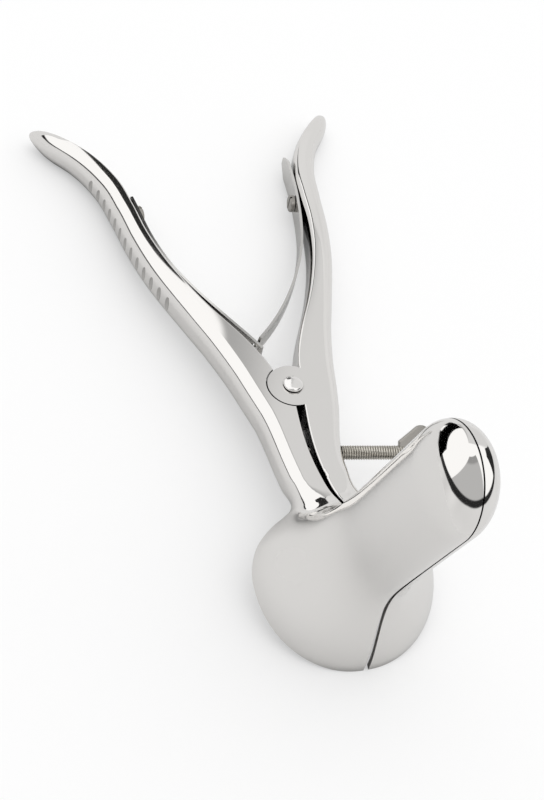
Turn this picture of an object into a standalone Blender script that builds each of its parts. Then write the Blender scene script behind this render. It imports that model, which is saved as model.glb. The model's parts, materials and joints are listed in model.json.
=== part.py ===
"""Bivalve anal speculum: two forged levers on a pivot, leaf springs and a set screw.

Each lever is a handle, a lower arm and a half-shell blade in one piece of steel.
The levers do not cross: squeezing the handles spreads the lower arms and the blades.

Working frame: the origin lies on the pivot axis at the front face of the joint.
+X runs from the left lever to the right one, +Y towards the handle tips and +Z out of
the front face. At the end the whole instrument is laid on its resting plane, z = 0.
"""
import math

import bmesh
import bpy
import numpy as np
from mathutils import Matrix, Vector

MM = 0.001

# Clearances
GAP = 0.30
HOLE_CLEARANCE = 0.30
RECESS_CLEARANCE = 0.40
PAST = 2.0

# Levers
HANDLE_REACH = 116.5
LEFT_SPREAD = 49.6
RIGHT_SPREAD = 47.0
LEVER_DEPTH = 11.0
TIP_DEPTH = 9.5
TIP_LENGTH = 11.5
JOINT_WIDTH = 11.3
GRIP_START_WIDTH = 7.8
GRIP_WIDTH = 6.8
GRIP_END_WIDTH = 7.4
TIP_WIDTH = 7.6
JOINT_OFFSET = 8.2
SHOULDER_RADIUS = 4.2
JOINT_EDGE = 0.5
GRIP_EDGE = 1.4
GRIP_EDGE_DEPTH = 3.2

# Handle's centre line: parts of its reach and the part of the spread it has there. Past the
# start of the curl each handle goes to its own spread.
HANDLE_LINE = ((0.08, 0.210), (0.18, 0.288), (0.26, 0.368), (0.346, 0.450), (0.433, 0.521),
               (0.554, 0.587), (0.658, 0.619), (0.762, 0.662), (0.866, 0.771), (0.935, 0.895),
               (1.0, 1.0))
CURL_START = 0.70

# Finger grooves on the outer side of each handle
GROOVE_COUNT = 13
GROOVE_FIRST_Y = 39.5
GROOVE_LAST_Y = 90.5
GROOVE_WIDTH = 2.1
GROOVE_HEIGHT = 6.6
GROOVE_DEPTH = 0.55

# Lap joint and rivet
LOBE_RADIUS = 7.2
RIVET_RADIUS = 2.0
RIVET_HEAD_RADIUS = 2.8
RIVET_HEAD_HEIGHT = 1.3
RIVET_HEAD_EDGE = 0.3
RIVET_TAIL_RADIUS = 2.7
RIVET_TAIL_HEIGHT = 1.2

# Lower arms and the slit between them
ARM_LENGTH = 41.0
SLIT_BOW = 1.6
SLIT_TOP_WIDTH = 2.3
SLIT_END_WIDTH = 0.8
LEFT_ARM_WIDTH = 8.8
RIGHT_ARM_WIDTH = 8.2
ARM_TAPER_END = 29.0
ROOT_FILLET = 5.5
ROOT_FILLET_LIMIT = 1.15
ROOT_SEAM = 0.03

# Blades
BLADE_TILT = math.radians(20.5)
BLADE_LENGTH = 96.0
NOSE_LENGTH = 17.8
TUBE_HALF_WIDTH = 8.5
TUBE_HALF_HEIGHT = 13.7
FLARE_LENGTH = 29.0
FLARE_HALF_WIDTH = 24.4
FLARE_FAR_REACH = 26.4
NEAR_FLARE_LENGTH = 16.0
FLARE_NEAR_REACH = 20.0
FLARE_BELL = 1.4
LUMEN_BELOW_RIM = 12.0
BLADE_WALL = 1.4
BLADE_Y = -54.0
BLADE_Z = -13.3
PARTING_GAP_NOSE = 0.4
PARTING_GAP_RIM = 1.4

# Leaf springs
SPRING_THICKNESS = 0.8
SPRING_WIDTH = 7.6
SPRING_HOOK_WIDTH = 5.2
SPRING_SCREW_Y = 77.0
TONGUE_WIDTH = 2.4
TONGUE_LENGTH = 3.6
SLOT_WIDTH = 3.4
SLOT_LENGTH = 2.4
SPRING_HOOK_Y = 18.3
SPRING_HOOK_LIFT = 2.8
LEFT_SPRING_OVERRUN = 2.6
RIGHT_SPRING_OVERRUN = 1.7
LEFT_SPRING_TAIL = 4.2
RIGHT_SPRING_TAIL = 20.1
RIGHT_TAIL_LEAN = math.radians(6.3)
LEFT_SPRING_END_TURN = math.radians(-63.2)
RIGHT_SPRING_END_TURN = math.radians(-140.3)
SPRING_TIP_WIDTH = 2.4
SPRING_TIP_GROWTH = 1.1

# At parts of the way from hook to screw: the left strip's lift off its seat on the handle,
# and the right strip's sag from the straight line
LEFT_SPRING_LIFTS = ((0.77, 0.0), (0.56, 0.3), (0.40, 1.0), (0.20, 1.9))
RIGHT_SPRING_SAGS = ((0.67, 5.3), (0.42, 5.8), (0.205, 4.05))

# Spring screws
SPRING_SCREW_RADIUS = 1.2
SPRING_SCREW_HEAD_RADIUS = 2.6
SPRING_SCREW_HEAD_HEIGHT = 1.4
SPRING_SCREW_EDGE = 0.3
SPRING_SCREW_REACH = 3.6
SPRING_SCREW_SLOT = 0.6
SPRING_SCREW_SLOT_DEPTH = 0.7

# Thumb screw
SET_SCREW_RADIUS = 2.0
SET_SCREW_Y = -19.7
SET_SCREW_ANGLE = math.radians(-8.4)
SET_SCREW_FREE_THREAD = 16.4
SET_SCREW_PROUD = -0.1
SET_SCREW_TIP_CHAMFER = 0.5
WING_THICKNESS = 1.8
WING_LENGTH = 9.0
WING_ROOT_HALF = 3.2
WING_TIP_HALF = 7.6
WING_LOBE_RADIUS = 2.6
WING_DIP = 1.0
WING_FLANK = math.radians(30)
WING_ROLL = math.radians(40.0)

# Facets
RING_STEPS = 6
CORNER_STEPS = 3
ROOT_STEPS = 12
ARM_STEPS = 10
GRIP_STEPS = 24
TIP_STEPS = 8
BLADE_RING = 18
BLADE_STEPS = 18
NOSE_STEPS = 8
LUMEN_STEPS = 16
GROOVE_SIDES = 12
GROOVE_LEVELS = 8
DOME_STEPS = 6
WING_STEPS = 8
ROUND_SIDES = 32
SCREW_SIDES = 24
SPRING_STEPS = 40

MID_Z = -LEVER_DEPTH / 2


def material(name, colour, roughness):
    steel = bpy.data.materials.new(name)
    steel.use_nodes = True
    shader = steel.node_tree.nodes["Principled BSDF"]
    shader.inputs["Base Color"].default_value = (*colour, 1.0)
    shader.inputs["Metallic"].default_value = 1.0
    shader.inputs["Roughness"].default_value = roughness
    steel.diffuse_color = (*colour, 1.0)
    return steel


def mesh_object(name, points, faces, finish, smooth_angle=30.0):
    """One closed object from points in millimetres."""
    mesh = bpy.data.meshes.new(name)
    mesh.from_pydata([tuple(c * MM for c in p) for p in points], [], faces)
    tidy = bmesh.new()
    tidy.from_mesh(mesh)
    bmesh.ops.recalc_face_normals(tidy, faces=tidy.faces)
    tidy.to_mesh(mesh)
    tidy.free()
    mesh.shade_smooth()
    mesh.set_sharp_from_angle(angle=math.radians(smooth_angle))
    if finish:
        mesh.materials.append(finish)
    thing = bpy.data.objects.new(name, mesh)
    bpy.context.scene.collection.objects.link(thing)
    return thing


def hide_tool(tool):
    tool.hide_render = True
    tool.display_type = "WIRE"
    return tool


def boolean(target, tool, operation):
    hide_tool(tool)
    step = target.modifiers.new(tool.name, "BOOLEAN")
    step.object = tool
    step.operation = operation
    step.solver = "EXACT"


def smooth_curve(stations, at):
    """Cubic through (place, value) stations, with finite-difference slopes."""
    place = np.array([s[0] for s in stations], float)
    value = np.array([s[1] for s in stations], float)
    slope = np.gradient(value, place)
    at = np.clip(np.asarray(at, float), place[0], place[-1])
    i = np.clip(np.searchsorted(place, at) - 1, 0, len(place) - 2)
    span = place[i + 1] - place[i]
    t = (at - place[i]) / span
    start = (1 + 2 * t) * (1 - t) ** 2 * value[i] + t * (1 - t) ** 2 * span * slope[i]
    end = t * t * (3 - 2 * t) * value[i + 1] + t * t * (t - 1) * span * slope[i + 1]
    return start + end


def loft(rings, start_pole=None, end_pole=None):
    """Points and faces of a closed skin over equal rings, with flat or pointed ends."""
    count = len(rings[0])
    points = [tuple(p) for ring in rings for p in ring]
    faces = []
    for r in range(len(rings) - 1):
        for k in range(count):
            n = (k + 1) % count
            faces.append((r * count + k, r * count + n, (r + 1) * count + n, (r + 1) * count + k))
    first = list(range(count))
    last = [(len(rings) - 1) * count + k for k in range(count)]
    for ring, pole in ((first, start_pole), (last, end_pole)):
        if pole is None:
            faces.append(tuple(ring))
        else:
            points.append(tuple(pole))
            tip = len(points) - 1
            faces.extend((ring[k], ring[(k + 1) % count], tip) for k in range(count))
    return points, faces


def turned(profile, sides=ROUND_SIDES):
    """Rings of (height, radius) stations turned about Z, poles where the radius is zero."""
    angles = [2 * math.pi * k / sides for k in range(sides)]
    rings = [[(r * math.cos(a), r * math.sin(a), z) for a in angles] for z, r in profile if r > 0]
    start = (0, 0, profile[0][0]) if profile[0][1] == 0 else None
    end = (0, 0, profile[-1][0]) if profile[-1][1] == 0 else None
    return loft(rings, start, end)


def cylinder(name, radius, low, high, finish=None):
    points, faces = turned([(low, radius), (high, radius)])
    return mesh_object(name, points, faces, finish)


# Lever outline

def spread(side):
    return LEFT_SPREAD if side < 0 else RIGHT_SPREAD


def handle_centre(side, y):
    """Distance of the handle's centre line from the parting plane, for y above the pivot."""
    stations = [(0.0, JOINT_OFFSET)]
    even = (LEFT_SPREAD + RIGHT_SPREAD) / 2
    for reach, offset in HANDLE_LINE:
        own = max(0.0, reach - CURL_START) / (1 - CURL_START)
        stations.append((reach * HANDLE_REACH, offset * (even + (spread(side) - even) * own)))
    return smooth_curve(stations, y)


def handle_width(y):
    tip_start = HANDLE_REACH - TIP_LENGTH
    stations = [(0.0, JOINT_WIDTH), (0.08 * HANDLE_REACH, JOINT_WIDTH),
                (0.34 * HANDLE_REACH, GRIP_START_WIDTH), (0.55 * HANDLE_REACH, GRIP_WIDTH),
                (0.76 * HANDLE_REACH, GRIP_END_WIDTH), (tip_start, TIP_WIDTH),
                (HANDLE_REACH, TIP_WIDTH)]
    return smooth_curve(stations, y) * tip_round(y)


def tip_round(y):
    u = np.clip((np.asarray(y, float) - (HANDLE_REACH - TIP_LENGTH)) / TIP_LENGTH, 0, 1)
    return np.sqrt(1 - u ** 2)


def handle_depth(y):
    stations = [(0.0, LEVER_DEPTH), (0.65 * HANDLE_REACH, LEVER_DEPTH),
                (HANDLE_REACH - TIP_LENGTH, TIP_DEPTH), (HANDLE_REACH, TIP_DEPTH)]
    return smooth_curve(stations, y) * tip_round(y)


def slit(y):
    """Centre and width of the slit between the lower arms, for y below the pivot."""
    u = np.clip((-y - LOBE_RADIUS) / (ARM_LENGTH - LOBE_RADIUS), 0, 1)
    centre = -SLIT_BOW * np.sin(math.pi * u)
    return centre, SLIT_TOP_WIDTH + (SLIT_END_WIDTH - SLIT_TOP_WIDTH) * u


def arm_edges(side, y):
    """Inner and outer distance of an arm from the parting plane; side is -1 or +1."""
    width = LEFT_ARM_WIDTH if side < 0 else RIGHT_ARM_WIDTH
    centre, opening = slit(y)
    inner = side * centre + opening / 2
    joint_outer = JOINT_OFFSET + JOINT_WIDTH / 2
    taper = np.clip(-y / ARM_TAPER_END, 0, 1)
    return inner, joint_outer + (inner + width - joint_outer) * np.sin(taper * math.pi / 2)


def section(inner, outer, low, high, shoulder_x, shoulder_z, edge=JOINT_EDGE, edge_depth=JOINT_EDGE):
    """Ring in x and z: rounded outer shoulders and softer or sharper inner edges."""
    quarter = [k / RING_STEPS * math.pi / 2 for k in range(RING_STEPS + 1)]
    edge = min(edge, (outer - inner) / 4)
    rise = min(edge_depth, (high - low) / 2.5)
    ax = min(shoulder_x, outer - inner - edge)
    az = min(shoulder_z, (high - low) / 2)
    ring = [(outer - ax + ax * math.sin(a), high - az + az * math.cos(a)) for a in quarter]
    ring += [(outer - ax + ax * math.cos(a), low + az - az * math.sin(a)) for a in quarter]
    corner = [k / CORNER_STEPS * math.pi / 2 for k in range(CORNER_STEPS + 1)]
    ring += [(inner + edge - edge * math.sin(a), low + rise - rise * math.cos(a)) for a in corner]
    ring += [(inner + edge - edge * math.cos(a), high - rise + rise * math.sin(a)) for a in corner]
    return ring


def section_pull():
    """For each point of a section, its way out in x and z and its share of the root fillet."""
    quarter = [k / RING_STEPS * math.pi / 2 for k in range(RING_STEPS + 1)]
    pull = [(math.sin(a), math.cos(a), 1.0) for a in quarter]
    pull += [(math.cos(a), -math.sin(a), math.cos(a) ** 2) for a in quarter]
    pull += [(0.0, 1.0, 0.0)] * (CORNER_STEPS + 1)
    pull += [(0.0, 1.0, 1.0)] * (CORNER_STEPS + 1)
    return np.array(pull)


def blade_distance(p):
    """About how far points lie outside the closed pair of blades, rim plane included."""
    along, far = (np.array(axis) for axis in blade_axes())
    from_rim = p - np.array([0, BLADE_Y, BLADE_Z])
    v = from_rim @ along
    near = -(from_rim @ far)
    x = np.abs(p[:, 0]) - parting(v) / 2
    flare, near_flare = flare_amounts(v)
    width = TUBE_HALF_WIDTH + (FLARE_HALF_WIDTH - TUBE_HALF_WIDTH) * flare
    reach = TUBE_HALF_HEIGHT + (FLARE_NEAR_REACH - TUBE_HALF_HEIGHT) * near_flare
    level = np.sqrt((x / width) ** 2 + (near / reach) ** 2)
    steep = np.hypot(x / width ** 2, near / reach ** 2) / np.maximum(level, 1e-6)
    radial = (level - 1) / np.maximum(steep, 1e-6)
    return np.where(v < 0, np.hypot(np.maximum(radial, 0), v), radial)


def draw_into_fillet(ring, y, side):
    """Moves a section's points out to the smooth union of lever and blade."""
    pull = section_pull()
    start = np.array([(side * x, y, z) for x, z in ring])
    way = np.stack([side * pull[:, 0], np.zeros(len(pull)), pull[:, 1]], 1)
    soft = np.maximum(ROOT_FILLET * pull[:, 2], 1e-3)
    low = np.zeros(len(ring))
    high = soft * ROOT_FILLET_LIMIT
    for _ in range(24):
        move = (low + high) / 2
        other = blade_distance(start + way * move[:, None]) + ROOT_SEAM
        mix = np.maximum(soft - np.abs(move - other), 0) / soft
        inside = np.minimum(move, other) - mix ** 2 * soft / 4 < 0
        low, high = np.where(inside, move, low), np.where(inside, high, move)
    return start + way * low[:, None]


def lever_rings(side):
    """Sections from the root, inside the blade, to just short of the handle's tip."""
    blend_start = -(ARM_LENGTH - 2 * ROOT_FILLET)
    root_y = -(ARM_LENGTH + ROOT_FILLET)
    root = np.linspace(root_y, blend_start, ROOT_STEPS, endpoint=False)
    arm = np.linspace(blend_start, 0, ARM_STEPS, endpoint=False)
    grip = np.linspace(0, HANDLE_REACH - TIP_LENGTH, GRIP_STEPS, endpoint=False)
    tip_angles = np.linspace(0, math.pi / 2, TIP_STEPS)[:-1]
    tip = HANDLE_REACH - TIP_LENGTH + TIP_LENGTH * np.sin(tip_angles)
    rings = []
    for y in np.concatenate([root, arm, grip, tip]):
        if y < 0:
            inner, outer = arm_edges(side, y)
            ring = section(inner, outer, -LEVER_DEPTH, 0.0, SHOULDER_RADIUS, SHOULDER_RADIUS)
            rings.append(draw_into_fillet(ring, y, side))
        else:
            centre, width = handle_centre(side, y), handle_width(y)
            half = handle_depth(y) / 2
            soft = float(np.clip((y - 1.5 * LOBE_RADIUS) / (3 * LOBE_RADIUS), 0, 1))
            ring = section(centre - width / 2, centre + width / 2, MID_Z - half, MID_Z + half,
                           SHOULDER_RADIUS, SHOULDER_RADIUS, JOINT_EDGE + (GRIP_EDGE - JOINT_EDGE) * soft,
                           JOINT_EDGE + (GRIP_EDGE_DEPTH - JOINT_EDGE) * soft)
            rings.append([(side * x, y, z) for x, z in ring])
    return rings


def lever(name, side, finish):
    tip = (side * spread(side), HANDLE_REACH, MID_Z)
    points, faces = loft(lever_rings(side), end_pole=tip)
    return mesh_object(name, points, faces, finish)


# Blades

def blade_axes():
    along = Vector((0, -math.sin(BLADE_TILT), math.cos(BLADE_TILT)))
    far = Vector((0, -math.cos(BLADE_TILT), -math.sin(BLADE_TILT)))
    return along, far


def parting(v):
    u = np.clip(1 - v / BLADE_LENGTH, 0, 1)
    return PARTING_GAP_NOSE + (PARTING_GAP_RIM - PARTING_GAP_NOSE) * u ** 2


def flare_amounts(v):
    """Share of the full flare at v, at the sides and far edge and at the near edge."""
    share = np.clip(1 - v / FLARE_LENGTH, 0, 1)
    near_share = np.clip(1 - v / NEAR_FLARE_LENGTH, 0, 1)
    flare = share ** 2 * (1 + FLARE_BELL * (1 - share))
    return flare, near_share ** 2 * (1 + FLARE_BELL * (1 - near_share))


def blade_point(side, inset, v, turn):
    """Point of a blade's wall: v runs from rim to nose, turn from far edge to near edge."""
    along, far = blade_axes()
    flare, near_flare = flare_amounts(v)
    length = BLADE_LENGTH - inset
    nose = max(0.0, v - (BLADE_LENGTH - NOSE_LENGTH)) / (length - (BLADE_LENGTH - NOSE_LENGTH))
    close = math.sqrt(max(0.0, 1 - nose ** 2))
    half_width = TUBE_HALF_WIDTH + (FLARE_HALF_WIDTH - TUBE_HALF_WIDTH) * flare - inset
    if math.cos(turn) > 0:
        reach = TUBE_HALF_HEIGHT + (FLARE_FAR_REACH - TUBE_HALF_HEIGHT) * flare
    else:
        reach = TUBE_HALF_HEIGHT + (FLARE_NEAR_REACH - TUBE_HALF_HEIGHT) * near_flare
    x = half_width * close * math.sin(turn) + parting(v) / 2
    base = Vector((0, BLADE_Y, BLADE_Z)) + along * v + far * ((reach - inset) * close * math.cos(turn))
    return (side * x, base.y, base.z)


def blade_stations(inset):
    straight_end = BLADE_LENGTH - NOSE_LENGTH
    straight = np.linspace(0.0, straight_end, BLADE_STEPS, endpoint=False)
    quarter = np.linspace(0, math.pi / 2, NOSE_STEPS + 1)[:-1]
    nose = straight_end + (NOSE_LENGTH - inset) * np.sin(quarter)
    return np.concatenate([straight, nose])


def blade(name, side, finish):
    """Half shell: outer and inner skins joined along the parting edges, rim and nose."""
    turns = np.linspace(0, math.pi, BLADE_RING)
    points, faces, skins = [], [], []
    for inset in (0.0, BLADE_WALL):
        rows = []
        for v in blade_stations(inset):
            rows.append([len(points) + k for k in range(BLADE_RING)])
            points += [blade_point(side, inset, v, t) for t in turns]
        points.append(blade_point(side, inset, BLADE_LENGTH - inset, math.pi / 2))
        skins.append((rows, len(points) - 1))
    for rows, tip in skins:
        for a, b in zip(rows, rows[1:]):
            faces += [(a[k], a[k + 1], b[k + 1], b[k]) for k in range(BLADE_RING - 1)]
        faces += [(rows[-1][k], rows[-1][k + 1], tip) for k in range(BLADE_RING - 1)]
    (outer, outer_tip), (inner, inner_tip) = skins
    faces += [(outer[0][k], outer[0][k + 1], inner[0][k + 1], inner[0][k]) for k in range(BLADE_RING - 1)]
    for k in (0, BLADE_RING - 1):
        for a in range(len(outer) - 1):
            faces.append((outer[a][k], outer[a + 1][k], inner[a + 1][k], inner[a][k]))
        faces.append((outer[-1][k], outer_tip, inner_tip, inner[-1][k]))
    return mesh_object(name, points, faces, finish)


def lumen_cutter(name, side):
    """Solid that clears the hollow behind a blade's wall out of the lever's root."""
    turns = np.linspace(0, math.pi, BLADE_RING)
    rings = []
    for v in np.linspace(-LUMEN_BELOW_RIM, FLARE_LENGTH + TUBE_HALF_HEIGHT, LUMEN_STEPS):
        ring = [blade_point(side, BLADE_WALL / 2, v, t) for t in turns]
        past = -side * PAST
        ring += [(past, ring[-1][1], ring[-1][2]), (past, ring[0][1], ring[0][2])]
        rings.append(ring)
    points, faces = loft(rings)
    return mesh_object(name, points, faces, None)


# Grooves

def groove_cutter(name, side):
    """Row of slim upright lenses let into the outer side of a handle."""
    points, faces = [], []
    for y in np.linspace(GROOVE_FIRST_Y, GROOVE_LAST_Y, GROOVE_COUNT):
        outer = handle_centre(side, y) + handle_width(y) / 2
        slope = (handle_centre(side, y + 0.5) + handle_width(y + 0.5) / 2) - outer
        lean = math.atan2(slope, 0.5)
        rings = []
        for level in np.linspace(-1, 1, GROOVE_LEVELS + 1)[1:-1]:
            scale = math.sqrt(1 - level ** 2)
            ring = []
            for k in range(GROOVE_SIDES):
                a = 2 * math.pi * k / GROOVE_SIDES
                across = GROOVE_DEPTH * 2 * scale * math.cos(a)
                run = GROOVE_WIDTH / 2 * scale * math.sin(a)
                x = outer + across * math.cos(lean) + run * math.sin(lean)
                yy = y - across * math.sin(lean) + run * math.cos(lean)
                ring.append((side * (x + GROOVE_DEPTH), yy, MID_Z + level * GROOVE_HEIGHT / 2))
            rings.append(ring)
        top = (side * (outer + GROOVE_DEPTH), y, MID_Z + GROOVE_HEIGHT / 2)
        bottom = (side * (outer + GROOVE_DEPTH), y, MID_Z - GROOVE_HEIGHT / 2)
        lens_points, lens_faces = loft(rings, bottom, top)
        shift = len(points)
        points += lens_points
        faces += [tuple(i + shift for i in f) for f in lens_faces]
    return mesh_object(name, points, faces, None)


# Springs

def inner_face(side, y):
    """Point of a handle's inner face at y and the direction out of it."""
    x = handle_centre(side, y) - handle_width(y) / 2
    ahead = handle_centre(side, y + 1.0) - handle_width(y + 1.0) / 2
    slope = math.atan2(ahead - x, 1.0)
    return side * x, (-side * math.cos(slope), math.sin(slope))


def spring_seat(side, above=0.0, lift=0.0):
    """Centre of the strip where it lies on its handle or is lifted off it; above its screw or below."""
    y = SPRING_SCREW_Y + above
    x, out = inner_face(side, y)
    stand = GAP + SPRING_THICKNESS / 2 + lift
    return x + out[0] * stand, y + out[1] * stand


def spring_hook():
    """Where the strips cross and hook together, near the left handle."""
    return Vector(spring_seat(-1, SPRING_HOOK_Y - SPRING_SCREW_Y, SPRING_HOOK_LIFT))


def arc_points(control, count):
    """Smooth path through control points, evenly spaced."""
    control = np.array(control, float)
    run = np.concatenate([[0], np.cumsum(np.hypot(*np.diff(control, axis=0).T))])
    at = np.linspace(0, run[-1], count)
    return np.stack([smooth_curve(list(zip(run, control[:, k])), at) for k in (0, 1)], 1)


def strip(name, path, widths, finish):
    """Flat strip along a path in x and y, its width along z."""
    path = np.array(path)
    heading = np.gradient(path, axis=0)
    heading /= np.hypot(heading[:, 0], heading[:, 1])[:, None]
    normal = np.stack([-heading[:, 1], heading[:, 0]], 1) * SPRING_THICKNESS / 2
    rings = []
    for p, n, w in zip(path, normal, widths):
        a, b = p + n, p - n
        rings.append([(a[0], a[1], MID_Z - w / 2), (b[0], b[1], MID_Z - w / 2),
                      (b[0], b[1], MID_Z + w / 2), (a[0], a[1], MID_Z + w / 2)])
    points, faces = loft(rings)
    return mesh_object(name, points, faces, finish)


def axis_matrix(x, y, direction):
    """Placement whose local Z points along a direction in the x and y plane."""
    turn = math.atan2(direction[1], direction[0])
    place = Matrix.Translation(Vector((x, y, MID_Z)) * MM)
    return place @ Matrix.Rotation(turn, 4, "Z") @ Matrix.Rotation(math.pi / 2, 4, "Y")


def toward(angle, length):
    return Vector((math.cos(angle), math.sin(angle))) * length


def right_spring(finish):
    """Tapered strip with a free tail above its screw and a tongue at its hooked end."""
    seat = Vector(spring_seat(1))
    tail = seat + toward(math.pi / 2 - RIGHT_TAIL_LEAN, RIGHT_SPRING_TAIL)
    hook = spring_hook()
    tip = hook + toward(RIGHT_SPRING_END_TURN, RIGHT_SPRING_OVERRUN)
    chord = seat - hook
    out = Vector((chord.y, -chord.x)).normalized()
    bow = [tuple(hook + chord * part + out * sag) for part, sag in RIGHT_SPRING_SAGS]
    path = arc_points([tuple(tail), tuple(seat), *bow, tuple(hook), tuple(tip)], SPRING_STEPS)
    run = np.concatenate([[0], np.cumsum(np.hypot(*np.diff(path, axis=0).T))])
    left = run[-1] - run
    taper = SPRING_WIDTH + (SPRING_HOOK_WIDTH - SPRING_WIDTH) * run / run[-1]
    widths = np.where(left < TONGUE_LENGTH, TONGUE_WIDTH, taper)
    widths = np.minimum(widths, SPRING_TIP_WIDTH + run * SPRING_TIP_GROWTH)
    return strip("right_spring", path, widths, finish)


def left_spring(finish):
    """Tapered strip with a slot near its end, which holds the other strip's tongue."""
    seat = spring_seat(-1)
    tail = spring_seat(-1, LEFT_SPRING_TAIL)
    hook = spring_hook()
    tip = hook + toward(LEFT_SPRING_END_TURN, LEFT_SPRING_OVERRUN)
    way = SPRING_HOOK_Y - SPRING_SCREW_Y
    bow = [spring_seat(-1, way * (1 - part), lift) for part, lift in LEFT_SPRING_LIFTS]
    path = arc_points([tail, seat, *bow, tuple(hook), tuple(tip)], SPRING_STEPS)
    widths = np.linspace(SPRING_WIDTH, SPRING_HOOK_WIDTH, SPRING_STEPS)
    thing = strip("left_spring", path, widths, finish)
    along = toward(LEFT_SPRING_END_TURN, SLOT_LENGTH / 2)
    across = toward(LEFT_SPRING_END_TURN + math.pi / 2, SPRING_THICKNESS * 3)
    corners = [hook + along + across, hook + along - across, hook - along - across, hook - along + across]
    rings = [[(c.x, c.y, MID_Z + z) for c in corners] for z in (-SLOT_WIDTH / 2, SLOT_WIDTH / 2)]
    points, faces = loft(rings)
    boolean(thing, mesh_object("left_spring_slot", points, faces, None), "DIFFERENCE")
    return thing


def spring_screw(name, side, finish):
    """Slotted cheese-head screw through a strip into its handle; local Z points to its head."""
    x, out = inner_face(side, SPRING_SCREW_Y)
    under_head = 2 * GAP + SPRING_THICKNESS
    top = under_head + SPRING_SCREW_HEAD_HEIGHT
    profile = [(-SPRING_SCREW_REACH, SPRING_SCREW_RADIUS), (under_head, SPRING_SCREW_RADIUS),
               (under_head, SPRING_SCREW_HEAD_RADIUS), (top - SPRING_SCREW_EDGE, SPRING_SCREW_HEAD_RADIUS),
               (top, SPRING_SCREW_HEAD_RADIUS - SPRING_SCREW_EDGE)]
    points, faces = turned(profile, SCREW_SIDES)
    thing = mesh_object(name, points, faces, finish)
    reach = SPRING_SCREW_HEAD_RADIUS * 1.5
    half = SPRING_SCREW_SLOT / 2
    ring = [(-reach, -half), (reach, -half), (reach, half), (-reach, half)]
    rings = [[(a, b, z) for a, b in ring] for z in (top - SPRING_SCREW_SLOT_DEPTH, top + reach)]
    slot_points, slot_faces = loft(rings)
    slot = mesh_object(name + "_slot", slot_points, slot_faces, None)
    place = axis_matrix(x, SPRING_SCREW_Y, out)
    thing.matrix_world = place
    slot.matrix_world = place
    boolean(thing, slot, "DIFFERENCE")
    return thing


def spring_screw_hole(name, side):
    x, out = inner_face(side, SPRING_SCREW_Y)
    depth = SPRING_SCREW_REACH + GAP
    tool = cylinder(name, SPRING_SCREW_RADIUS + HOLE_CLEARANCE, -depth, depth)
    tool.matrix_world = axis_matrix(x, SPRING_SCREW_Y, out)
    return tool


# Rivet and thumb screw

def pivot_rivet(finish):
    dome = [k / DOME_STEPS * math.pi / 2 for k in range(DOME_STEPS + 1)]
    dome_height = RIVET_HEAD_HEIGHT - RIVET_HEAD_EDGE
    head = [(GAP + RIVET_HEAD_EDGE + dome_height * math.sin(a), RIVET_HEAD_RADIUS * math.cos(a))
            for a in dome]
    head[-1] = (head[-1][0], 0.0)
    profile = [(-LEVER_DEPTH, RIVET_TAIL_RADIUS), (-LEVER_DEPTH + RIVET_TAIL_HEIGHT, RIVET_RADIUS),
               (GAP, RIVET_RADIUS), (GAP, RIVET_HEAD_RADIUS - RIVET_HEAD_EDGE / 3)]
    points, faces = turned(profile + head)
    return mesh_object("pivot_rivet", points, faces, finish)


def pivot_hole(name):
    wide = RIVET_TAIL_RADIUS + HOLE_CLEARANCE
    bore = RIVET_RADIUS + HOLE_CLEARANCE
    profile = [(-LEVER_DEPTH - PAST, wide), (-LEVER_DEPTH, wide),
               (-LEVER_DEPTH + RIVET_TAIL_HEIGHT, bore), (PAST, bore)]
    points, faces = turned(profile)
    return mesh_object(name, points, faces, None)


def set_screw_start():
    """Place of the screw's tip, on the right arm's inner face."""
    inner, _ = arm_edges(1, SET_SCREW_Y)
    return float(inner) - SET_SCREW_PROUD, SET_SCREW_Y


def set_screw_exit():
    """Length of the screw inside the right arm."""
    inner, outer = arm_edges(1, SET_SCREW_Y)
    return float(outer - inner) / math.cos(SET_SCREW_ANGLE)


def thumb_screw(finish):
    """Threaded stud with a flat flared wing; local Z runs from the tip to the wing."""
    wing_start = set_screw_exit() + SET_SCREW_FREE_THREAD
    profile = [(0.0, SET_SCREW_RADIUS - SET_SCREW_TIP_CHAMFER), (SET_SCREW_TIP_CHAMFER, SET_SCREW_RADIUS),
               (wing_start + WING_LENGTH / 2, SET_SCREW_RADIUS)]
    points, faces = turned(profile, SCREW_SIDES)
    stud = mesh_object("thumb_screw", points, faces, finish)
    outline = wing_outline(wing_start)
    half = WING_THICKNESS / 2
    rings = [[(t, w, z) for w, z in outline] for t in (-half, half)]
    points, faces = loft(rings)
    wing = mesh_object("thumb_screw_wing", points, faces, finish)
    start = set_screw_start()
    direction = (math.cos(SET_SCREW_ANGLE), math.sin(SET_SCREW_ANGLE))
    place = axis_matrix(start[0], start[1], direction)
    stud.matrix_world = place
    wing.matrix_world = place @ Matrix.Rotation(WING_ROLL, 4, "Z")
    boolean(stud, wing, "UNION")
    return stud


def wing_outline(start):
    """Flared wing: straight flanks from the root to two round lobes with a dip between."""
    lobe = WING_LOBE_RADIUS
    centre_w = WING_TIP_HALF - lobe
    centre_z = start + WING_LENGTH - lobe
    side = [(WING_ROOT_HALF, start)]
    for k in range(WING_STEPS + 1):
        a = -WING_FLANK + k / WING_STEPS * (WING_FLANK + math.pi / 2)
        side.append((centre_w + lobe * math.cos(a), centre_z + lobe * math.sin(a)))
    dip = [(centre_w / 2, start + WING_LENGTH - WING_DIP / 2)]
    right = side + dip
    middle = [(0.0, start + WING_LENGTH - WING_DIP)]
    left = [(-w, z) for w, z in reversed(right)]
    return right + middle + left


# Assembly

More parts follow.
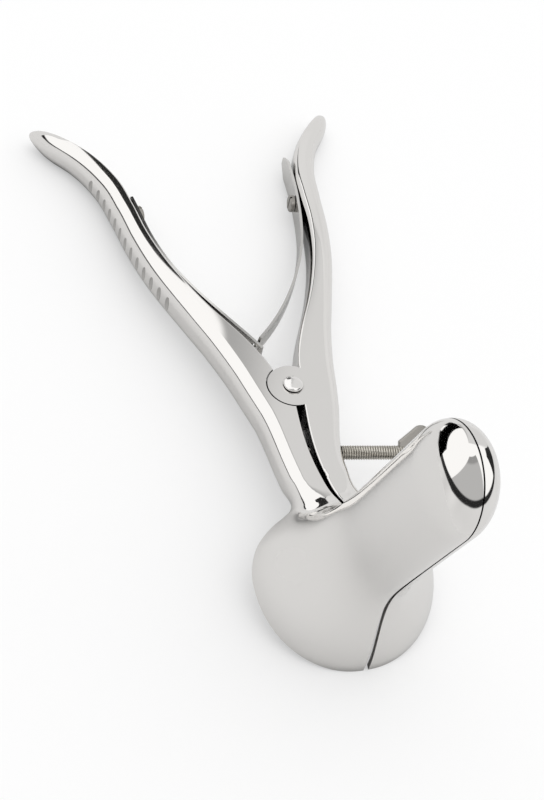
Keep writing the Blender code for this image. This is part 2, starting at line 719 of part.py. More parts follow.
def half(name, side, finish):
    """One forged half: lever, blade, lap joint, grooves and holes."""
    thing = lever(name, side, finish)
    boolean(thing, lumen_cutter(name + "_lumen", side), "DIFFERENCE")
    boolean(thing, blade(name + "_blade", side, finish), "UNION")
    boolean(thing, groove_cutter(name + "_grooves", side), "DIFFERENCE")
    split = GAP / 2
    recess = LOBE_RADIUS + RECESS_CLEARANCE
    if side < 0:
        boolean(thing, cylinder(name + "_recess", recess, MID_Z - split, PAST), "DIFFERENCE")
        lobe = cylinder(name + "_lobe", LOBE_RADIUS, -LEVER_DEPTH, MID_Z - split, finish)
    else:
        boolean(thing, cylinder(name + "_recess", recess, -LEVER_DEPTH - PAST, MID_Z + split), "DIFFERENCE")
        lobe = cylinder(name + "_lobe", LOBE_RADIUS, MID_Z + split, 0.0, finish)
    boolean(thing, lobe, "UNION")
    boolean(thing, pivot_hole(name + "_bore"), "DIFFERENCE")
    boolean(thing, spring_screw_hole(name + "_spring_hole", side), "DIFFERENCE")
    return thing


def bore_for_set_screw(target):
    past = PAST + SET_SCREW_RADIUS
    tool = cylinder("set_screw_hole", SET_SCREW_RADIUS + HOLE_CLEARANCE, -past, set_screw_exit() + past)
    start = set_screw_start()
    direction = (math.cos(SET_SCREW_ANGLE), math.sin(SET_SCREW_ANGLE))
    tool.matrix_world = axis_matrix(start[0], start[1], direction)
    boolean(target, tool, "DIFFERENCE")


def world_points(things):
    bpy.context.view_layer.update()
    graph = bpy.context.evaluated_depsgraph_get()
    clouds = []
    for thing in things:
        shape = thing.evaluated_get(graph)
        mesh = shape.to_mesh()
        flat = np.empty(len(mesh.vertices) * 3)
        mesh.vertices.foreach_get("co", flat)
        place = np.array(thing.matrix_world)
        clouds.append(flat.reshape(-1, 3) @ place[:3, :3].T + place[:3, 3])
        shape.to_mesh_clear()
    return np.concatenate(clouds)


def lay_down(root, things):
    """Tilt the instrument onto its rim and handle tips, centred over the origin."""
    cloud = world_points(things)
    low, high = -0.3, 0.3
    for _ in range(40):
        tilt = (low + high) / 2
        height = cloud[:, 1] * math.sin(tilt) + cloud[:, 2] * math.cos(tilt)
        front = height[cloud[:, 1] < 0].min()
        back = height[cloud[:, 1] >= 0].min()
        low, high = (tilt, high) if back < front else (low, tilt)
    turned_cloud = cloud @ np.array(Matrix.Rotation(tilt, 3, "X")).T
    middle = (turned_cloud.max(0) + turned_cloud.min(0)) / 2
    root.rotation_euler = (tilt, 0, 0)
    root.location = (-middle[0], -middle[1], -turned_cloud[:, 2].min())


def empty(name, parent=None):
    marker = bpy.data.objects.new(name, None)
    marker.empty_display_size = LOBE_RADIUS * MM
    bpy.context.scene.collection.objects.link(marker)
    marker.parent = parent
    return marker


def attach(thing, parent):
    place = thing.matrix_world.copy()
    thing.parent = parent
    thing.matrix_local = place
    return thing


def build():
    for old in list(bpy.data.objects):
        bpy.data.objects.remove(old, do_unlink=True)
    polished = material("polished_steel", (0.80, 0.80, 0.79), 0.16)
    bright = material("rivet_steel", (0.84, 0.84, 0.83), 0.12)
    spring_steel = material("spring_steel", (0.74, 0.74, 0.73), 0.24)
    screw_steel = material("screw_steel", (0.66, 0.65, 0.62), 0.30)

    instrument = empty("instrument")
    right_pivot = empty("right_lever_pivot", instrument)
    left = half("left_half", -1, polished)
    right = half("right_half", 1, polished)
    bore_for_set_screw(right)
    springs = [left_spring(spring_steel), right_spring(spring_steel)]
    for side, thing in ((-1, springs[0]), (1, springs[1])):
        boolean(thing, spring_screw_hole(thing.name + "_hole", side), "DIFFERENCE")
    left_screw = spring_screw("left_spring_screw", -1, screw_steel)
    right_screw = spring_screw("right_spring_screw", 1, screw_steel)
    rivet = pivot_rivet(bright)
    set_screw = thumb_screw(screw_steel)

    pieces = [left, right, *springs, left_screw, right_screw, rivet, set_screw]
    lay_down(instrument, pieces)
    moving = {right, springs[1], right_screw, set_screw}
    tools = [o for o in bpy.data.objects if o.type == "MESH" and o not in pieces]
    for thing in pieces + tools:
        on_right = thing in moving or thing.name.startswith("right") or thing.name == "set_screw_hole"
        attach(thing, right_pivot if on_right or thing.name == "thumb_screw_wing" else instrument)


build()
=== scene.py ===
"""Looks of the bivalve anal speculum: smooth meshes, polished steel, studio and camera."""
import json
import math

import bmesh
import bpy
import numpy as np
from mathutils import Matrix, Vector
from mathutils.kdtree import KDTree

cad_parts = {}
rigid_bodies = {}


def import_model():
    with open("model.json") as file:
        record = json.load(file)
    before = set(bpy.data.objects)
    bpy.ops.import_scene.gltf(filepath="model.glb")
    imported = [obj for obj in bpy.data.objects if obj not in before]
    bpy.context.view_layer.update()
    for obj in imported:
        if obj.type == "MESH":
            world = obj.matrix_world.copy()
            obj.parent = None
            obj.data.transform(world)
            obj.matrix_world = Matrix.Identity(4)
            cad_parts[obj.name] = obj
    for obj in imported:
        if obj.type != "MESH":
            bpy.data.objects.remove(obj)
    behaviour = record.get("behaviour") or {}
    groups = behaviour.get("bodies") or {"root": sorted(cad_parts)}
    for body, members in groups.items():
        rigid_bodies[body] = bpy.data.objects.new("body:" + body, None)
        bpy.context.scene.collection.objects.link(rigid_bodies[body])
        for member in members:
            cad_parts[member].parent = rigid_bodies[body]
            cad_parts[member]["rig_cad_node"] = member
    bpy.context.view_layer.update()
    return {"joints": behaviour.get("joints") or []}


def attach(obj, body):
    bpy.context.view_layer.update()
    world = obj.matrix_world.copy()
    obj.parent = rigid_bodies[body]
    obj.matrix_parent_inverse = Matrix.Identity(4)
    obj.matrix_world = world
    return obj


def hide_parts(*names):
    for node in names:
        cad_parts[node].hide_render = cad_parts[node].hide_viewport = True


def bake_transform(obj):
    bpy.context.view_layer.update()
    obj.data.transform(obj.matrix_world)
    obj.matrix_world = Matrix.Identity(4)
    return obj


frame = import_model()

MM = 0.001

# Clearances
GAP = 0.30
HOLE_CLEARANCE = 0.30
RECESS_CLEARANCE = 0.40
PAST = 2.0

# Levers
HANDLE_REACH = 116.5
LEFT_SPREAD = 49.6
RIGHT_SPREAD = 47.0
LEVER_DEPTH = 11.0
TIP_DEPTH = 9.5
TIP_LENGTH = 11.5
TIP_START = HANDLE_REACH - TIP_LENGTH
JOINT_WIDTH = 11.3
GRIP_START_WIDTH = 7.8
GRIP_WIDTH = 6.8
GRIP_END_WIDTH = 7.4
TIP_WIDTH = 7.6
JOINT_OFFSET = 8.2
SHOULDER_RADIUS = 4.2
JOINT_EDGE = 0.5
GRIP_EDGE = 1.4
GRIP_EDGE_DEPTH = 3.2

# Parts of the handle's reach where its widths hold and its depth starts to taper
JOINT_WIDTH_END = 0.08
GRIP_START = 0.34
GRIP_MIDDLE = 0.55
GRIP_END = 0.76
DEPTH_TAPER_START = 0.65

# A section's inner edges take at most its width and depth divided by these
EDGE_DIVISOR = 4
EDGE_DEPTH_DIVISOR = 2.5

# Handle's centre line: parts of its reach and the part of the spread it has there. Past the
# start of the curl each handle goes to its own spread.
HANDLE_LINE = ((0.08, 0.210), (0.18, 0.288), (0.26, 0.368), (0.346, 0.450), (0.433, 0.521),
               (0.554, 0.587), (0.658, 0.619), (0.762, 0.662), (0.866, 0.771), (0.935, 0.895),
               (1.0, 1.0))
CURL_START = 0.70

# Finger grooves on the outer side of each handle
GROOVE_COUNT = 13
GROOVE_FIRST_Y = 39.5
GROOVE_LAST_Y = 90.5
GROOVE_WIDTH = 2.1
GROOVE_HEIGHT = 6.6
GROOVE_DEPTH = 0.55
GROOVE_LENS_HALF = 2 * GROOVE_DEPTH
GROOVE_SLOPE_STEP = 0.5

# Lap joint and rivet
LOBE_RADIUS = 7.2
SOFT_EDGE_START = 1.5 * LOBE_RADIUS
SOFT_EDGE_RUN = 3 * LOBE_RADIUS
RIVET_RADIUS = 2.0
RIVET_HEAD_RADIUS = 2.8
RIVET_HEAD_HEIGHT = 1.3
RIVET_HEAD_EDGE = 0.3
RIVET_TAIL_RADIUS = 2.7
RIVET_TAIL_HEIGHT = 1.2

# Lower arms and the slit between them
ARM_LENGTH = 41.0
SLIT_BOW = 1.6
SLIT_TOP_WIDTH = 2.3
SLIT_END_WIDTH = 0.8
LEFT_ARM_WIDTH = 8.8
RIGHT_ARM_WIDTH = 8.2
ARM_TAPER_END = 29.0
ROOT_FILLET = 5.5
ROOT_FILLET_LIMIT = 1.15
ROOT_SEAM = 0.03
FILLET_ROUNDS = 24
LEAST_FILLET = 1e-3
TINY = 1e-6

# Blades
BLADE_TILT = math.radians(20.5)
BLADE_LENGTH = 96.0
NOSE_LENGTH = 17.8
NOSE_START = BLADE_LENGTH - NOSE_LENGTH
TUBE_HALF_WIDTH = 8.5
TUBE_HALF_HEIGHT = 13.7
FLARE_LENGTH = 29.0
FLARE_HALF_WIDTH = 24.4
FLARE_FAR_REACH = 26.4
NEAR_FLARE_LENGTH = 16.0
FLARE_NEAR_REACH = 20.0
FLARE_BELL = 1.4
# Softens the start of the flare
FLARE_EASE = 0.3
LUMEN_BELOW_RIM = 12.0
BLADE_WALL = 1.4
BLADE_Y = -54.0
BLADE_Z = -13.3
PARTING_GAP_NOSE = 0.4
PARTING_GAP_RIM = 1.4

# Leaf springs
SPRING_THICKNESS = 0.8
SPRING_WIDTH = 7.6
SPRING_HOOK_WIDTH = 5.2
SPRING_SCREW_Y = 77.0
TONGUE_WIDTH = 2.4
TONGUE_LENGTH = 3.6
SLOT_WIDTH = 3.4
SLOT_LENGTH = 2.4
SLOT_TOOL_REACH = 3 * SPRING_THICKNESS
SPRING_HOOK_Y = 18.3
SPRING_HOOK_LIFT = 2.8
LEFT_SPRING_OVERRUN = 2.6
RIGHT_SPRING_OVERRUN = 1.7
LEFT_SPRING_TAIL = 4.2
RIGHT_SPRING_TAIL = 20.1
RIGHT_TAIL_LEAN = math.radians(6.3)
LEFT_SPRING_END_TURN = math.radians(-63.2)
RIGHT_SPRING_END_TURN = math.radians(-140.3)
SPRING_TIP_WIDTH = 2.4
SPRING_TIP_GROWTH = 1.1

# At parts of the way from hook to screw: the left strip's lift off its seat on the handle,
# and the right strip's sag from the straight line
LEFT_SPRING_LIFTS = ((0.77, 0.0), (0.56, 0.3), (0.40, 1.0), (0.20, 1.9))
RIGHT_SPRING_SAGS = ((0.67, 5.3), (0.42, 5.8), (0.205, 4.05))

# Spring screws
SPRING_SCREW_RADIUS = 1.2
SPRING_SCREW_HEAD_RADIUS = 2.6
SPRING_SCREW_HEAD_HEIGHT = 1.4
SPRING_SCREW_EDGE = 0.3
SPRING_SCREW_REACH = 3.6
SPRING_SCREW_SLOT = 0.6
SPRING_SCREW_SLOT_DEPTH = 0.7
SPRING_SCREW_SLOT_REACH = 1.5 * SPRING_SCREW_HEAD_RADIUS

# Thumb screw
SET_SCREW_RADIUS = 2.0
SET_SCREW_Y = -19.7
SET_SCREW_ANGLE = math.radians(-8.4)
SET_SCREW_FREE_THREAD = 16.4
SET_SCREW_PROUD = -0.1
SET_SCREW_TIP_CHAMFER = 0.5
WING_THICKNESS = 1.8
WING_LENGTH = 9.0
WING_ROOT_HALF = 3.2
WING_TIP_HALF = 7.6
WING_LOBE_RADIUS = 2.6
WING_DIP = 1.0
WING_FLANK = math.radians(30)
WING_ROLL = math.radians(40.0)

# Facets
RING_STEPS = 16
CORNER_STEPS = 6
ROOT_STEPS = 60
ARM_STEPS = 36
GRIP_STEPS = 150
TIP_STEPS = 26
BLADE_RING = 70
BLADE_STEPS = 80
NOSE_STEPS = 34
LUMEN_STEPS = 57
GROOVE_SIDES = 24
GROOVE_LEVELS = 16
DOME_STEPS = 16
WING_STEPS = 20
ROUND_SIDES = 96
SCREW_SIDES = 64
SPRING_STEPS = 160

MID_Z = -LEVER_DEPTH / 2


def new_object(name, data):
    thing = bpy.data.objects.new(name, data)
    bpy.context.scene.collection.objects.link(thing)
    return thing


def mesh_object(name, skin, finish=None, smooth_angle=30.0):
    """One closed object from a skin: its points, in millimetres, and its faces."""
    points, faces = skin
    mesh = bpy.data.meshes.new(name)
    mesh.from_pydata([tuple(c * MM for c in p) for p in points], [], faces)
    tidy = bmesh.new()
    tidy.from_mesh(mesh)
    bmesh.ops.recalc_face_normals(tidy, faces=tidy.faces)
    tidy.to_mesh(mesh)
    tidy.free()
    mesh.shade_smooth()
    mesh.set_sharp_from_angle(angle=math.radians(smooth_angle))
    if finish:
        mesh.materials.append(finish)
    return new_object(name, mesh)


def boolean(target, tool, operation="DIFFERENCE"):
    """Adds a Boolean step, and hides its tool so that it can be told from the pieces."""
    tool.hide_render = True
    step = target.modifiers.new(tool.name, "BOOLEAN")
    step.object = tool
    step.operation = operation
    step.solver = "EXACT"


def smooth_curve(stations, at):
    """Cubic through (place, value) stations, with finite-difference slopes."""
    place = np.array([s[0] for s in stations], float)
    value = np.array([s[1] for s in stations], float)
    slope = np.gradient(value, place)
    at = np.clip(np.asarray(at, float), place[0], place[-1])
    i = np.clip(np.searchsorted(place, at) - 1, 0, len(place) - 2)
    span = place[i + 1] - place[i]
    t = (at - place[i]) / span
    start = (1 + 2 * t) * (1 - t) ** 2 * value[i] + t * (1 - t) ** 2 * span * slope[i]
    end = t * t * (3 - 2 * t) * value[i + 1] + t * t * (t - 1) * span * slope[i + 1]
    return start + end


def quarter_turn(steps):
    return [k / steps * math.pi / 2 for k in range(steps + 1)]


def loft(rings, start_pole=None, end_pole=None):
    """Points and faces of a closed skin over equal rings, with flat or pointed ends."""
    count = len(rings[0])
    points = [tuple(p) for ring in rings for p in ring]
    faces = []
    for r in range(len(rings) - 1):
        for k in range(count):
            n = (k + 1) % count
            faces.append((r * count + k, r * count + n, (r + 1) * count + n, (r + 1) * count + k))
    first = list(range(count))
    last = [(len(rings) - 1) * count + k for k in range(count)]
    for ring, pole in ((first, start_pole), (last, end_pole)):
        if pole is None:
            faces.append(tuple(ring))
        else:
            points.append(tuple(pole))
            tip = len(points) - 1
            faces.extend((ring[k], ring[(k + 1) % count], tip) for k in range(count))
    return points, faces


def turned(profile, sides=ROUND_SIDES):
    """Rings of (height, radius) stations turned about Z, poles where the radius is zero."""
    angles = [2 * math.pi * k / sides for k in range(sides)]
    rings = [[(r * math.cos(a), r * math.sin(a), z) for a in angles] for z, r in profile if r > 0]
    start = (0, 0, profile[0][0]) if profile[0][1] == 0 else None
    end = (0, 0, profile[-1][0]) if profile[-1][1] == 0 else None
    return loft(rings, start, end)


def cylinder(name, radius, low, high, finish=None):
    return mesh_object(name, turned([(low, radius), (high, radius)]), finish)


# Lever outline

def spread(side):
    return LEFT_SPREAD if side < 0 else RIGHT_SPREAD


def handle_centre(side, y):
    """Distance of the handle's centre line from the parting plane, for y above the pivot."""
    stations = [(0.0, JOINT_OFFSET)]
    even = (LEFT_SPREAD + RIGHT_SPREAD) / 2
    for reach, offset in HANDLE_LINE:
        own = max(0.0, reach - CURL_START) / (1 - CURL_START)
        stations.append((reach * HANDLE_REACH, offset * (even + (spread(side) - even) * own)))
    return smooth_curve(stations, y)


def handle_width(y):
    stations = [(0.0, JOINT_WIDTH), (JOINT_WIDTH_END * HANDLE_REACH, JOINT_WIDTH),
                (GRIP_START * HANDLE_REACH, GRIP_START_WIDTH), (GRIP_MIDDLE * HANDLE_REACH, GRIP_WIDTH),
                (GRIP_END * HANDLE_REACH, GRIP_END_WIDTH), (TIP_START, TIP_WIDTH),
                (HANDLE_REACH, TIP_WIDTH)]
    return smooth_curve(stations, y) * tip_round(y)


def tip_round(y):
    u = np.clip((np.asarray(y, float) - TIP_START) / TIP_LENGTH, 0, 1)
    return np.sqrt(1 - u ** 2)


def handle_depth(y):
    stations = [(0.0, LEVER_DEPTH), (DEPTH_TAPER_START * HANDLE_REACH, LEVER_DEPTH),
                (TIP_START, TIP_DEPTH), (HANDLE_REACH, TIP_DEPTH)]
    return smooth_curve(stations, y) * tip_round(y)


def slit(y):
    """Centre and width of the slit between the lower arms, for y below the pivot."""
    u = np.clip((-y - LOBE_RADIUS) / (ARM_LENGTH - LOBE_RADIUS), 0, 1)
    centre = -SLIT_BOW * np.sin(math.pi * u)
    return centre, SLIT_TOP_WIDTH + (SLIT_END_WIDTH - SLIT_TOP_WIDTH) * u


def arm_edges(side, y):
    """Inner and outer distance of an arm from the parting plane; side is -1 or +1."""
    width = LEFT_ARM_WIDTH if side < 0 else RIGHT_ARM_WIDTH
    centre, opening = slit(y)
    inner = side * centre + opening / 2
    joint_outer = JOINT_OFFSET + JOINT_WIDTH / 2
    taper = np.clip(-y / ARM_TAPER_END, 0, 1)
    return inner, joint_outer + (inner + width - joint_outer) * np.sin(taper * math.pi / 2)


def section(inner, outer, low, high, shoulder_x, shoulder_z, edge=JOINT_EDGE, edge_depth=JOINT_EDGE):
    """Ring in x and z: rounded outer shoulders and softer or sharper inner edges."""
    quarter = quarter_turn(RING_STEPS)
    edge = min(edge, (outer - inner) / EDGE_DIVISOR)
    rise = min(edge_depth, (high - low) / EDGE_DEPTH_DIVISOR)
    ax = min(shoulder_x, outer - inner - edge)
    az = min(shoulder_z, (high - low) / 2)
    ring = [(outer - ax + ax * math.sin(a), high - az + az * math.cos(a)) for a in quarter]
    ring += [(outer - ax + ax * math.cos(a), low + az - az * math.sin(a)) for a in quarter]
    corner = quarter_turn(CORNER_STEPS)
    ring += [(inner + edge - edge * math.sin(a), low + rise - rise * math.cos(a)) for a in corner]
    ring += [(inner + edge - edge * math.cos(a), high - rise + rise * math.sin(a)) for a in corner]
    return ring


def section_pull():
    """For each point of a section, its way out in x and z and its share of the root fillet."""
    quarter = quarter_turn(RING_STEPS)
    pull = [(math.sin(a), math.cos(a), 1.0) for a in quarter]
    pull += [(math.cos(a), -math.sin(a), math.cos(a) ** 2) for a in quarter]
    pull += [(0.0, 1.0, 0.0)] * (CORNER_STEPS + 1)
    pull += [(0.0, 1.0, 1.0)] * (CORNER_STEPS + 1)
    return np.array(pull)


def blade_distance(p):
    """About how far points lie outside the closed pair of blades, rim plane included."""
    along, far = (np.array(axis) for axis in blade_axes())
    from_rim = p - np.array([0, BLADE_Y, BLADE_Z])
    v = from_rim @ along
    near = -(from_rim @ far)
    x = np.abs(p[:, 0]) - parting(v) / 2
    flare, near_flare = flare_amounts(v)
    width = TUBE_HALF_WIDTH + (FLARE_HALF_WIDTH - TUBE_HALF_WIDTH) * flare
    reach = TUBE_HALF_HEIGHT + (FLARE_NEAR_REACH - TUBE_HALF_HEIGHT) * near_flare
    level = np.sqrt((x / width) ** 2 + (near / reach) ** 2)
    steep = np.hypot(x / width ** 2, near / reach ** 2) / np.maximum(level, TINY)
    radial = (level - 1) / np.maximum(steep, TINY)
    return np.where(v < 0, np.hypot(np.maximum(radial, 0), v), radial)


def draw_into_fillet(ring, y, side):
    """Moves a section's points out to the smooth union of lever and blade."""
    pull = section_pull()
    start = np.array([(side * x, y, z) for x, z in ring])
    way = np.stack([side * pull[:, 0], np.zeros(len(pull)), pull[:, 1]], 1)
    soft = np.maximum(ROOT_FILLET * pull[:, 2], LEAST_FILLET)
    low = np.zeros(len(ring))
    high = soft * ROOT_FILLET_LIMIT
    for _ in range(FILLET_ROUNDS):
        move = (low + high) / 2
        other = blade_distance(start + way * move[:, None]) + ROOT_SEAM
        mix = np.maximum(soft - np.abs(move - other), 0) / soft
        inside = np.minimum(move, other) - mix ** 2 * soft / 4 < 0
        low, high = np.where(inside, move, low), np.where(inside, high, move)
    return start + way * low[:, None]


def lever_rings(side):
    """Sections from the root, inside the blade, to just short of the handle's tip."""
    blend_start = -(ARM_LENGTH - 2 * ROOT_FILLET)
    root_y = -(ARM_LENGTH + ROOT_FILLET)
    root = np.linspace(root_y, blend_start, ROOT_STEPS, endpoint=False)
    arm = np.linspace(blend_start, 0, ARM_STEPS, endpoint=False)
    grip = np.linspace(0, TIP_START, GRIP_STEPS, endpoint=False)
    tip_angles = np.linspace(0, math.pi / 2, TIP_STEPS)[:-1]
    tip = TIP_START + TIP_LENGTH * np.sin(tip_angles)
    rings = []
    for y in np.concatenate([root, arm, grip, tip]):
        if y < 0:
            inner, outer = arm_edges(side, y)
            ring = section(inner, outer, -LEVER_DEPTH, 0.0, SHOULDER_RADIUS, SHOULDER_RADIUS)
            rings.append(draw_into_fillet(ring, y, side))
        else:
            centre, width = handle_centre(side, y), handle_width(y)
            half = handle_depth(y) / 2
            soft = float(np.clip((y - SOFT_EDGE_START) / SOFT_EDGE_RUN, 0, 1))
            ring = section(centre - width / 2, centre + width / 2, MID_Z - half, MID_Z + half,
                           SHOULDER_RADIUS, SHOULDER_RADIUS, JOINT_EDGE + (GRIP_EDGE - JOINT_EDGE) * soft,
                           JOINT_EDGE + (GRIP_EDGE_DEPTH - JOINT_EDGE) * soft)
            rings.append([(side * x, y, z) for x, z in ring])
    return rings


def lever(name, side, finish):
    tip = (side * spread(side), HANDLE_REACH, MID_Z)
    return mesh_object(name, loft(lever_rings(side), end_pole=tip), finish)


# Blades

def blade_axes():
    along = Vector((0, -math.sin(BLADE_TILT), math.cos(BLADE_TILT)))
    far = Vector((0, -math.cos(BLADE_TILT), -math.sin(BLADE_TILT)))
    return along, far


def parting(v):
    u = np.clip(1 - v / BLADE_LENGTH, 0, 1)
    return PARTING_GAP_NOSE + (PARTING_GAP_RIM - PARTING_GAP_NOSE) * u ** 2


def flare_amounts(v):
    """Share of the full flare at v, at the sides and far edge and at the near edge."""
    def bell(length):
        share = np.minimum(1.0, 1 - v / length)
        share = (share + np.sqrt(share ** 2 + FLARE_EASE ** 2)) / (1 + math.sqrt(1 + FLARE_EASE ** 2))
        return share ** 2 * (1 + FLARE_BELL * (1 - share))
    return bell(FLARE_LENGTH), bell(NEAR_FLARE_LENGTH)


def blade_point(side, inset, v, turn):
    """Point of a blade's wall: v runs from rim to nose, turn from far edge to near edge."""
    along, far = blade_axes()
    flare, near_flare = flare_amounts(v)
    length = BLADE_LENGTH - inset
    nose = max(0.0, v - NOSE_START) / (length - NOSE_START)
    close = math.sqrt(max(0.0, 1 - nose ** 2))
    half_width = TUBE_HALF_WIDTH + (FLARE_HALF_WIDTH - TUBE_HALF_WIDTH) * flare - inset
    if math.cos(turn) > 0:
        reach = TUBE_HALF_HEIGHT + (FLARE_FAR_REACH - TUBE_HALF_HEIGHT) * flare
    else:
        reach = TUBE_HALF_HEIGHT + (FLARE_NEAR_REACH - TUBE_HALF_HEIGHT) * near_flare
    x = half_width * close * math.sin(turn) + parting(v) / 2
    base = Vector((0, BLADE_Y, BLADE_Z)) + along * v + far * ((reach - inset) * close * math.cos(turn))
    return (side * x, base.y, base.z)


def blade_stations(inset):
    straight = np.linspace(0.0, NOSE_START, BLADE_STEPS, endpoint=False)
    quarter = np.linspace(0, math.pi / 2, NOSE_STEPS + 1)[:-1]
    nose = NOSE_START + (NOSE_LENGTH - inset) * np.sin(quarter)
    return np.concatenate([straight, nose])


def blade(name, side, finish):
    """Half shell: outer and inner skins joined along the parting edges, rim and nose."""
    turns = np.linspace(0, math.pi, BLADE_RING)
    points, faces, skins = [], [], []
    for inset in (0.0, BLADE_WALL):
        rows = []
        for v in blade_stations(inset):
            rows.append([len(points) + k for k in range(BLADE_RING)])
            points += [blade_point(side, inset, v, t) for t in turns]
        points.append(blade_point(side, inset, BLADE_LENGTH - inset, math.pi / 2))
        skins.append((rows, len(points) - 1))
    for rows, tip in skins:
        for a, b in zip(rows, rows[1:]):
            faces += [(a[k], a[k + 1], b[k + 1], b[k]) for k in range(BLADE_RING - 1)]
        faces += [(rows[-1][k], rows[-1][k + 1], tip) for k in range(BLADE_RING - 1)]
    (outer, outer_tip), (inner, inner_tip) = skins
    faces += [(outer[0][k], outer[0][k + 1], inner[0][k + 1], inner[0][k]) for k in range(BLADE_RING - 1)]
    for k in (0, BLADE_RING - 1):
        for a in range(len(outer) - 1):
            faces.append((outer[a][k], outer[a + 1][k], inner[a + 1][k], inner[a][k]))
        faces.append((outer[-1][k], outer_tip, inner_tip, inner[-1][k]))
    return mesh_object(name, (points, faces), finish)


def lumen_cutter(name, side):
    """Solid that clears the hollow behind a blade's wall out of the lever's root."""
    turns = np.linspace(0, math.pi, BLADE_RING)
    rings = []
    for v in np.linspace(-LUMEN_BELOW_RIM, FLARE_LENGTH + TUBE_HALF_HEIGHT, LUMEN_STEPS):
        ring = [blade_point(side, BLADE_WALL / 2, v, t) for t in turns]
        past = -side * PAST
        ring += [(past, ring[-1][1], ring[-1][2]), (past, ring[0][1], ring[0][2])]
        rings.append(ring)
    return mesh_object(name, loft(rings))


# Grooves

def groove_cutter(name, side):
    """Row of slim upright lenses let into the outer side of a handle."""
    points, faces = [], []
    for y in np.linspace(GROOVE_FIRST_Y, GROOVE_LAST_Y, GROOVE_COUNT):
        outer = handle_centre(side, y) + handle_width(y) / 2
        ahead = y + GROOVE_SLOPE_STEP
        slope = (handle_centre(side, ahead) + handle_width(ahead) / 2) - outer
        lean = math.atan2(slope, GROOVE_SLOPE_STEP)
        rings = []
        for level in np.linspace(-1, 1, GROOVE_LEVELS + 1)[1:-1]:
            scale = math.sqrt(1 - level ** 2)
            ring = []
            for k in range(GROOVE_SIDES):
                a = 2 * math.pi * k / GROOVE_SIDES
                across = GROOVE_LENS_HALF * scale * math.cos(a)
                run = GROOVE_WIDTH / 2 * scale * math.sin(a)
                x = outer + across * math.cos(lean) + run * math.sin(lean)
                yy = y - across * math.sin(lean) + run * math.cos(lean)
                ring.append((side * (x + GROOVE_DEPTH), yy, MID_Z + level * GROOVE_HEIGHT / 2))
            rings.append(ring)
        top = (side * (outer + GROOVE_DEPTH), y, MID_Z + GROOVE_HEIGHT / 2)
        bottom = (side * (outer + GROOVE_DEPTH), y, MID_Z - GROOVE_HEIGHT / 2)
        lens_points, lens_faces = loft(rings, bottom, top)
        shift = len(points)
        points += lens_points
        faces += [tuple(i + shift for i in f) for f in lens_faces]
    return mesh_object(name, (points, faces))


# Springs

def inner_face(side, y):
    """Point of a handle's inner face at y and the direction out of it."""
    x = handle_centre(side, y) - handle_width(y) / 2
    ahead = handle_centre(side, y + 1.0) - handle_width(y + 1.0) / 2
    slope = math.atan2(ahead - x, 1.0)
    return side * x, (-side * math.cos(slope), math.sin(slope))


def spring_seat(side, above=0.0, lift=0.0):
    """Centre of the strip where it lies on its handle or is lifted off it; above its screw or below."""
    y = SPRING_SCREW_Y + above
    x, out = inner_face(side, y)
    stand = GAP + SPRING_THICKNESS / 2 + lift
    return x + out[0] * stand, y + out[1] * stand


def spring_hook():
    """Where the strips cross and hook together, near the left handle."""
    return Vector(spring_seat(-1, SPRING_HOOK_Y - SPRING_SCREW_Y, SPRING_HOOK_LIFT))


def run_along(path):
    """Distance along a path at each of its points."""
    return np.concatenate([[0], np.cumsum(np.hypot(*np.diff(path, axis=0).T))])


def arc_points(control, count):
    """Smooth path through control points, evenly spaced."""
    control = np.array(control, float)
    run = run_along(control)
    at = np.linspace(0, run[-1], count)
    return np.stack([smooth_curve(list(zip(run, control[:, k])), at) for k in (0, 1)], 1)


def strip(name, path, widths, finish):
    """Flat strip along a path in x and y, its width along z."""
    path = np.array(path)
    heading = np.gradient(path, axis=0)
    heading /= np.hypot(heading[:, 0], heading[:, 1])[:, None]
    normal = np.stack([-heading[:, 1], heading[:, 0]], 1) * SPRING_THICKNESS / 2
    rings = []
    for p, n, w in zip(path, normal, widths):
        a, b = p + n, p - n
        rings.append([(a[0], a[1], MID_Z - w / 2), (b[0], b[1], MID_Z - w / 2),
                      (b[0], b[1], MID_Z + w / 2), (a[0], a[1], MID_Z + w / 2)])
    return mesh_object(name, loft(rings), finish)


def axis_matrix(x, y, direction):
    """Placement whose local Z points along a direction in the x and y plane."""
    turn = math.atan2(direction[1], direction[0])
    place = Matrix.Translation(Vector((x, y, MID_Z)) * MM)
    return place @ Matrix.Rotation(turn, 4, "Z") @ Matrix.Rotation(math.pi / 2, 4, "Y")


def toward(angle, length):
    return Vector((math.cos(angle), math.sin(angle))) * length


def right_spring(finish):
    """Tapered strip with a free tail above its screw and a tongue at its hooked end."""
    seat = Vector(spring_seat(1))
    tail = seat + toward(math.pi / 2 - RIGHT_TAIL_LEAN, RIGHT_SPRING_TAIL)
    hook = spring_hook()
    tip = hook + toward(RIGHT_SPRING_END_TURN, RIGHT_SPRING_OVERRUN)
    chord = seat - hook
    out = Vector((chord.y, -chord.x)).normalized()
    bow = [tuple(hook + chord * part + out * sag) for part, sag in RIGHT_SPRING_SAGS]
    path = arc_points([tuple(tail), tuple(seat), *bow, tuple(hook), tuple(tip)], SPRING_STEPS)
    run = run_along(path)
    left = run[-1] - run
    taper = SPRING_WIDTH + (SPRING_HOOK_WIDTH - SPRING_WIDTH) * run / run[-1]
    widths = np.where(left < TONGUE_LENGTH, TONGUE_WIDTH, taper)
    widths = np.minimum(widths, SPRING_TIP_WIDTH + run * SPRING_TIP_GROWTH)
    return strip("right_spring", path, widths, finish)


